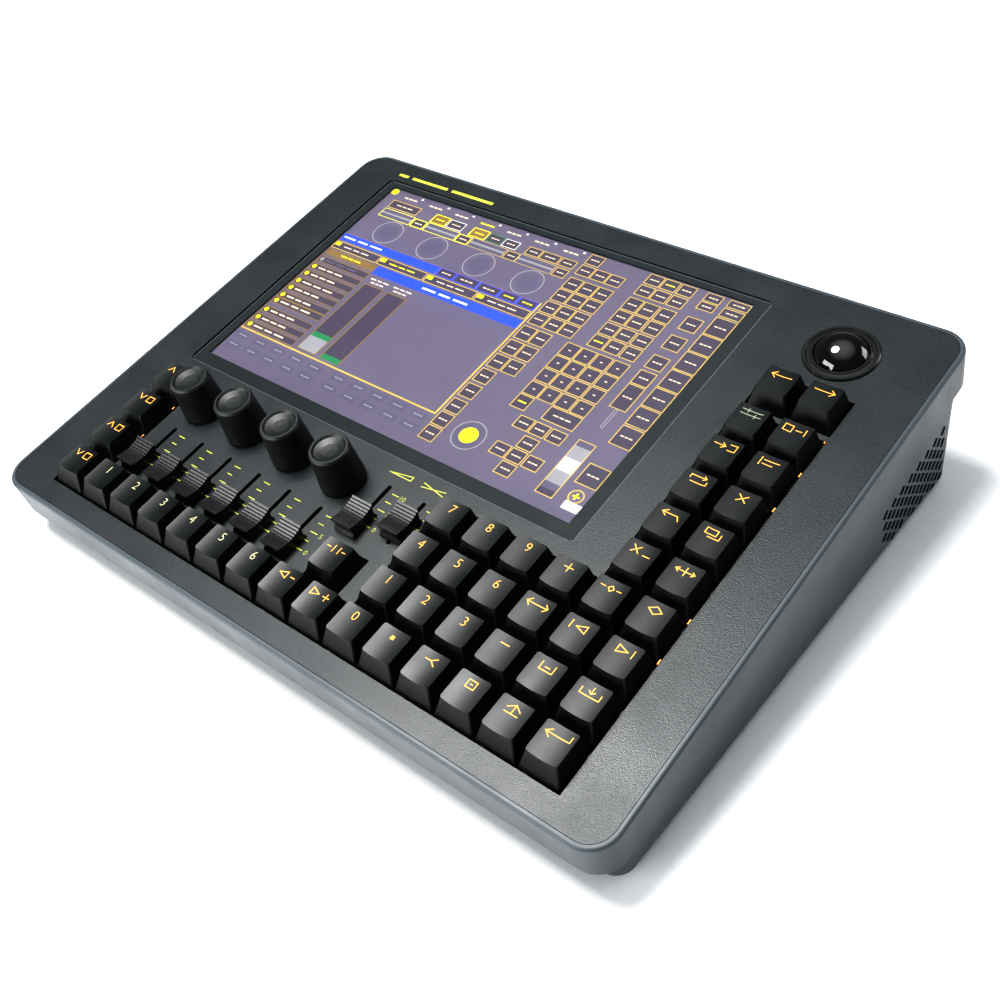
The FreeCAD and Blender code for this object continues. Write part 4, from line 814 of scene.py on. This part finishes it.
# %% A drawing board that counts in screen units
class Picture:
    """Draws on a stack of thin boards: a word lies above its button, and both lie above the ground."""

    def __init__(self, layers=4):
        self.boards = [Board(lambda x, y, k=k: LAYER_LOW + LAYER_STEP * k) for k in range(layers)]

    def place(self, x, y):
        return PICTURE_LEFT + x * UNIT, PICTURE_TOP - y * UNIT

    def box(self, left, top, right, bottom, ink, layer=1):
        x0, y0 = self.place(left, bottom)
        x1, y1 = self.place(right, top)
        self.boards[layer].box(x0, y0, x1, y1, INK[ink])

    def outline(self, left, top, right, bottom, ink="frame", line=3, layer=2):
        x0, y0 = self.place(left, bottom)
        x1, y1 = self.place(right, top)
        self.boards[layer].outline(x0, y0, x1, y1, line * UNIT, INK[ink])

    def word(self, x, y, width, ink="word", height=5, layer=3):
        """A word: short bars of uneven length, side by side."""
        ends = [0.0, 0.30, 0.37, 0.62, 0.69, 1.0] if width > 26 else [0.0, 0.45, 0.56, 1.0]
        for start, end in zip(ends[::2], ends[1::2]):
            left, right = x + width * (start - 0.5), x + width * (end - 0.5)
            self.box(left, y - height / 2, right, y + height / 2, ink, layer)

    def button(self, left, top, right, bottom, ink="frame", word="word", fill="well", share=0.55):
        self.box(left, top, right, bottom, fill)
        self.outline(left, top, right, bottom, ink)
        if word:
            self.word((left + right) / 2, (top + bottom) / 2, (right - left) * share, word)

    def ring(self, x, y, outer, inner, ink, layer=2):
        self.boards[layer].ring(*self.place(x, y), outer * UNIT, inner * UNIT, INK[ink])


picture = Picture()

# %% The black border, the painted edge highlight and the ground
SCREEN_WIDE, SCREEN_DEEP = 1557, 978
GLASS_LEFT, GLASS_RIGHT, GLASS_FRONT, GLASS_REAR, GLASS_FACE = -143.15, 85.35, -32.5, 114.5, -0.8
EDGE_INSET, EDGE_GLINT_LINE, PRINT_LIFT = 0.25, 0.3, 0.03
left, right = GLASS_LEFT + EDGE_INSET, GLASS_RIGHT - EDGE_INSET
front, rear = GLASS_FRONT + EDGE_INSET, GLASS_REAR - EDGE_INSET
inner_left, inner_rear = picture.place(0, 0)
inner_right, inner_front = picture.place(SCREEN_WIDE, SCREEN_DEEP)
border = Board(lambda x, y: GLASS_FACE + PRINT_LIFT)
# The pale outline round the whole glass is a painted highlight for the glint along its polished edge.
border.outline(left, front, right, rear, EDGE_GLINT_LINE, 1)
left, right, front, rear = left + EDGE_GLINT_LINE, right - EDGE_GLINT_LINE, front + EDGE_GLINT_LINE, rear - EDGE_GLINT_LINE
border.box(left, front, inner_left, rear)
border.box(inner_right, front, right, rear)
border.box(inner_left, front, inner_right, inner_front)
border.box(inner_left, inner_rear, inner_right, rear)
# The second ink, a pale grey, is the painted highlight of the edge's glint.
border_inks = [
    ink_of("border_black", (0.022, 0.026, 0.027), 0.0, 0.06),
    ink_of("painted_edge_glint", (0.11, 0.12, 0.12), 0.0, 0.15),
]
border.finish("glass_border", border_inks, "desk", "touch_glass")
picture.box(0, 0, SCREEN_WIDE, SCREEN_DEEP, "ground", 0)
print("border shapes", len(border.faces))

# %% The window: tabs, dials and the blue bar
picture.ring(18, 17, 15, 0, "yellow")
for x in (110, 235, 362, 485, 608, 733, 858):
    picture.word(x, 30, 62, "yellow" if x == 485 else "word", 7)
for x in (155, 285, 405, 530, 655, 780, 903):
    picture.box(x - 5, 8, x + 5, 17, "pale")
for left, top, right, bottom, ink, fill in (
    (48, 55, 190, 98, "frame", "well"), (265, 55, 335, 103, "yellow", "brown"),
    (340, 57, 412, 100, "pale", "well"), (450, 57, 525, 103, "yellow", "brown"),
    (530, 60, 595, 100, "green", "well"), (600, 60, 665, 100, "pale", "well"),
    (705, 60, 765, 100, "frame", "well"), (768, 60, 845, 100, "frame", "well"),
    (850, 60, 912, 100, "frame", "well"),
):
    picture.button(left, top, right, bottom, ink, "yellow" if fill == "brown" else "word", fill)
for bar_left, bar_right, box_left, box_right, ink in (
    (48, 200, 205, 265, "yellow"), (270, 420, 422, 480, "yellow"),
    (485, 640, 645, 700, "frame"), (700, 855, 860, 912, "frame"),
):
    for k, shade in enumerate(("dim", "dim", "grey", "dim", "dim")):
        picture.box(bar_left, 105 + 9 * k, bar_right, 114 + 9 * k, shade)
    picture.outline(bar_left, 105, bar_right, 150, ink, 2)
    picture.button(box_left, 108, box_right, 150, ink)
for x in (158, 375, 594, 810):
    picture.ring(x, 214, 60, 56, "grey")
    picture.ring(x, 214, 42, 38, "dim")
    picture.ring(x, 214, 36, 0, "dim", 1)
picture.box(5, 282, 475, 318, "blue")
picture.word(110, 300, 190, "pale", 8)
for left, right in ((480, 555), (560, 660), (665, 755), (760, 835), (840, 915)):
    picture.button(left, 280, right, 320, "blue", "yellow" if left > 750 else "word")
for left, right in ((5, 230), (235, 455), (460, 685), (690, 915)):
    picture.button(left, 325, right, 365, "frame", "yellow" if left == 235 else "word")
    picture.box(left + 4, 332, left + 28, 348, "yellow", 3)
print("picture shapes so far", sum(len(board.faces) for board in picture.boards))

# %% The window: list, columns and the rows below
picture.button(10, 372, 252, 405, "brown", "yellow", "brown", 0.4)
picture.box(258, 372, 915, 412, "blue")
picture.word(588, 393, 205, "pale", 9)
for k, top in enumerate((415, 457, 497, 540, 580, 622, 654, 705, 748, 788)):
    picture.box(8, top, 255, top + 32, "well")
    picture.outline(8, top, 255, top + 32, "brown", 4)
    picture.ring(25, top + 16, 9, 0, "yellow" if k else "grey", 3)
    picture.word(106 if k % 3 else 120, top + 16, 120 if k % 3 else 150, "dim" if k == 0 else "word", 7)
for left, right, low in ((272, 365, 725), (382, 475, 792)):
    picture.word((left + right) / 2, 434, 84, "word", 6)
    picture.word((left + right) / 2, 450, 60, "word", 6)
    picture.box(left, 462, right, 815, "well")
    picture.outline(left, 462, right, 815, "brown", 5)
    picture.box(left + 5, low, right - 5, low + 22, "green", 3)
    if low < 780:
        picture.box(left + 5, low + 22, right - 5, 811, "grey", 3)
picture.outline(3, 278, 922, 830, "brown", 3)
picture.box(3, 825, 924, 831, "frame", 3)
picture.box(918, 278, 924, 831, "frame", 3)
for x in (45, 135, 225, 315, 405, 520, 610, 698, 787, 875):
    for y in (858, 905):
        picture.box(x - 33, y - 14, x + 33, y + 14, "dim")
        picture.word(x, y, 36, "grey")

# %% The blocks of buttons on the right
CELL_WIDE, FIGURE_COLUMNS, FIGURE_SHARE, WORD_SHARE = 58, 4, 0.16, 0.6
LIT_CELLS = [(1233, 5), (1172, 317)]
blocks = [
    ((932, 993, 1053), ((62, 112), (130, 188), (192, 250), (257, 312), (317, 373))),
    ((932, 993), ((385, 448), (457, 520), (528, 590))),
    ((932,), ((5, 55), (600, 660), (672, 732), (745, 803), (808, 865), (870, 928))),
    (
        (1172, 1233, 1296),
        ((5, 55), (62, 112), (127, 188), (192, 250), (257, 312), (317, 373), (707, 757), (823, 873)),
    ),
    ((1112, 1173, 1235, 1297), ((387, 447), (450, 508), (512, 570), (575, 632))),
    ((1235,), ((768, 818), (878, 928))),
]
for lefts, rows in blocks:
    for left in lefts:
        for top, bottom in rows:
            word = "yellow" if (left, top) in LIT_CELLS else "word"
            share = FIGURE_SHARE if len(lefts) == FIGURE_COLUMNS else WORD_SHARE
            picture.button(left, top, left + CELL_WIDE, bottom, word=word, share=share)
picture.button(1235, 635, 1355, 693)
picture.button(1112, 635, 1170, 693, word="yellow")
for top, bottom in ((5, 45), (48, 85), (125, 187), (217, 280), (313, 373), (385, 447), (450, 557)):
    picture.button(1392, top, 1453, bottom)
picture.outline(1417, 557, 1429, 640, "grey", 3)
for top, bottom in (
    (5, 40), (45, 85), (90, 172), (175, 255), (258, 340),
    (343, 425), (428, 510), (513, 593), (598, 678), (765, 845),
):
    picture.button(1475, top, 1552, bottom)

# %% The pointer pad, the wheel strip and the corner
picture.ring(1078, 850, 58, 54, "grey")
picture.ring(1078, 850, 50, 34, "dim", 1)
picture.ring(1078, 850, 31, 0, "yellow")
STRIP_BANDS = ("dim", "grey", "grey", "pale", "pale", "grey", "grey", "dim", "well")
band = (928 - 705) / len(STRIP_BANDS)
for k, shade in enumerate(STRIP_BANDS):
    picture.box(1392, 705 + band * k, 1455, 705 + band * (k + 1), shade)
picture.outline(1392, 705, 1455, 928)
picture.ring(1514, 888, 25, 21, "frame")
picture.word(1514, 888, 24, "yellow", 5)
picture.box(1511, 876, 1517, 900, "yellow", 3)
picture.box(1495, 910, 1556, 940, "pale", 3)
for k, board in enumerate(picture.boards):
    board.finish("screen_layer_" + str(k + 1), picture_inks, "desk", "display_module")
print("picture shapes", sum(len(board.faces) for board in picture.boards))
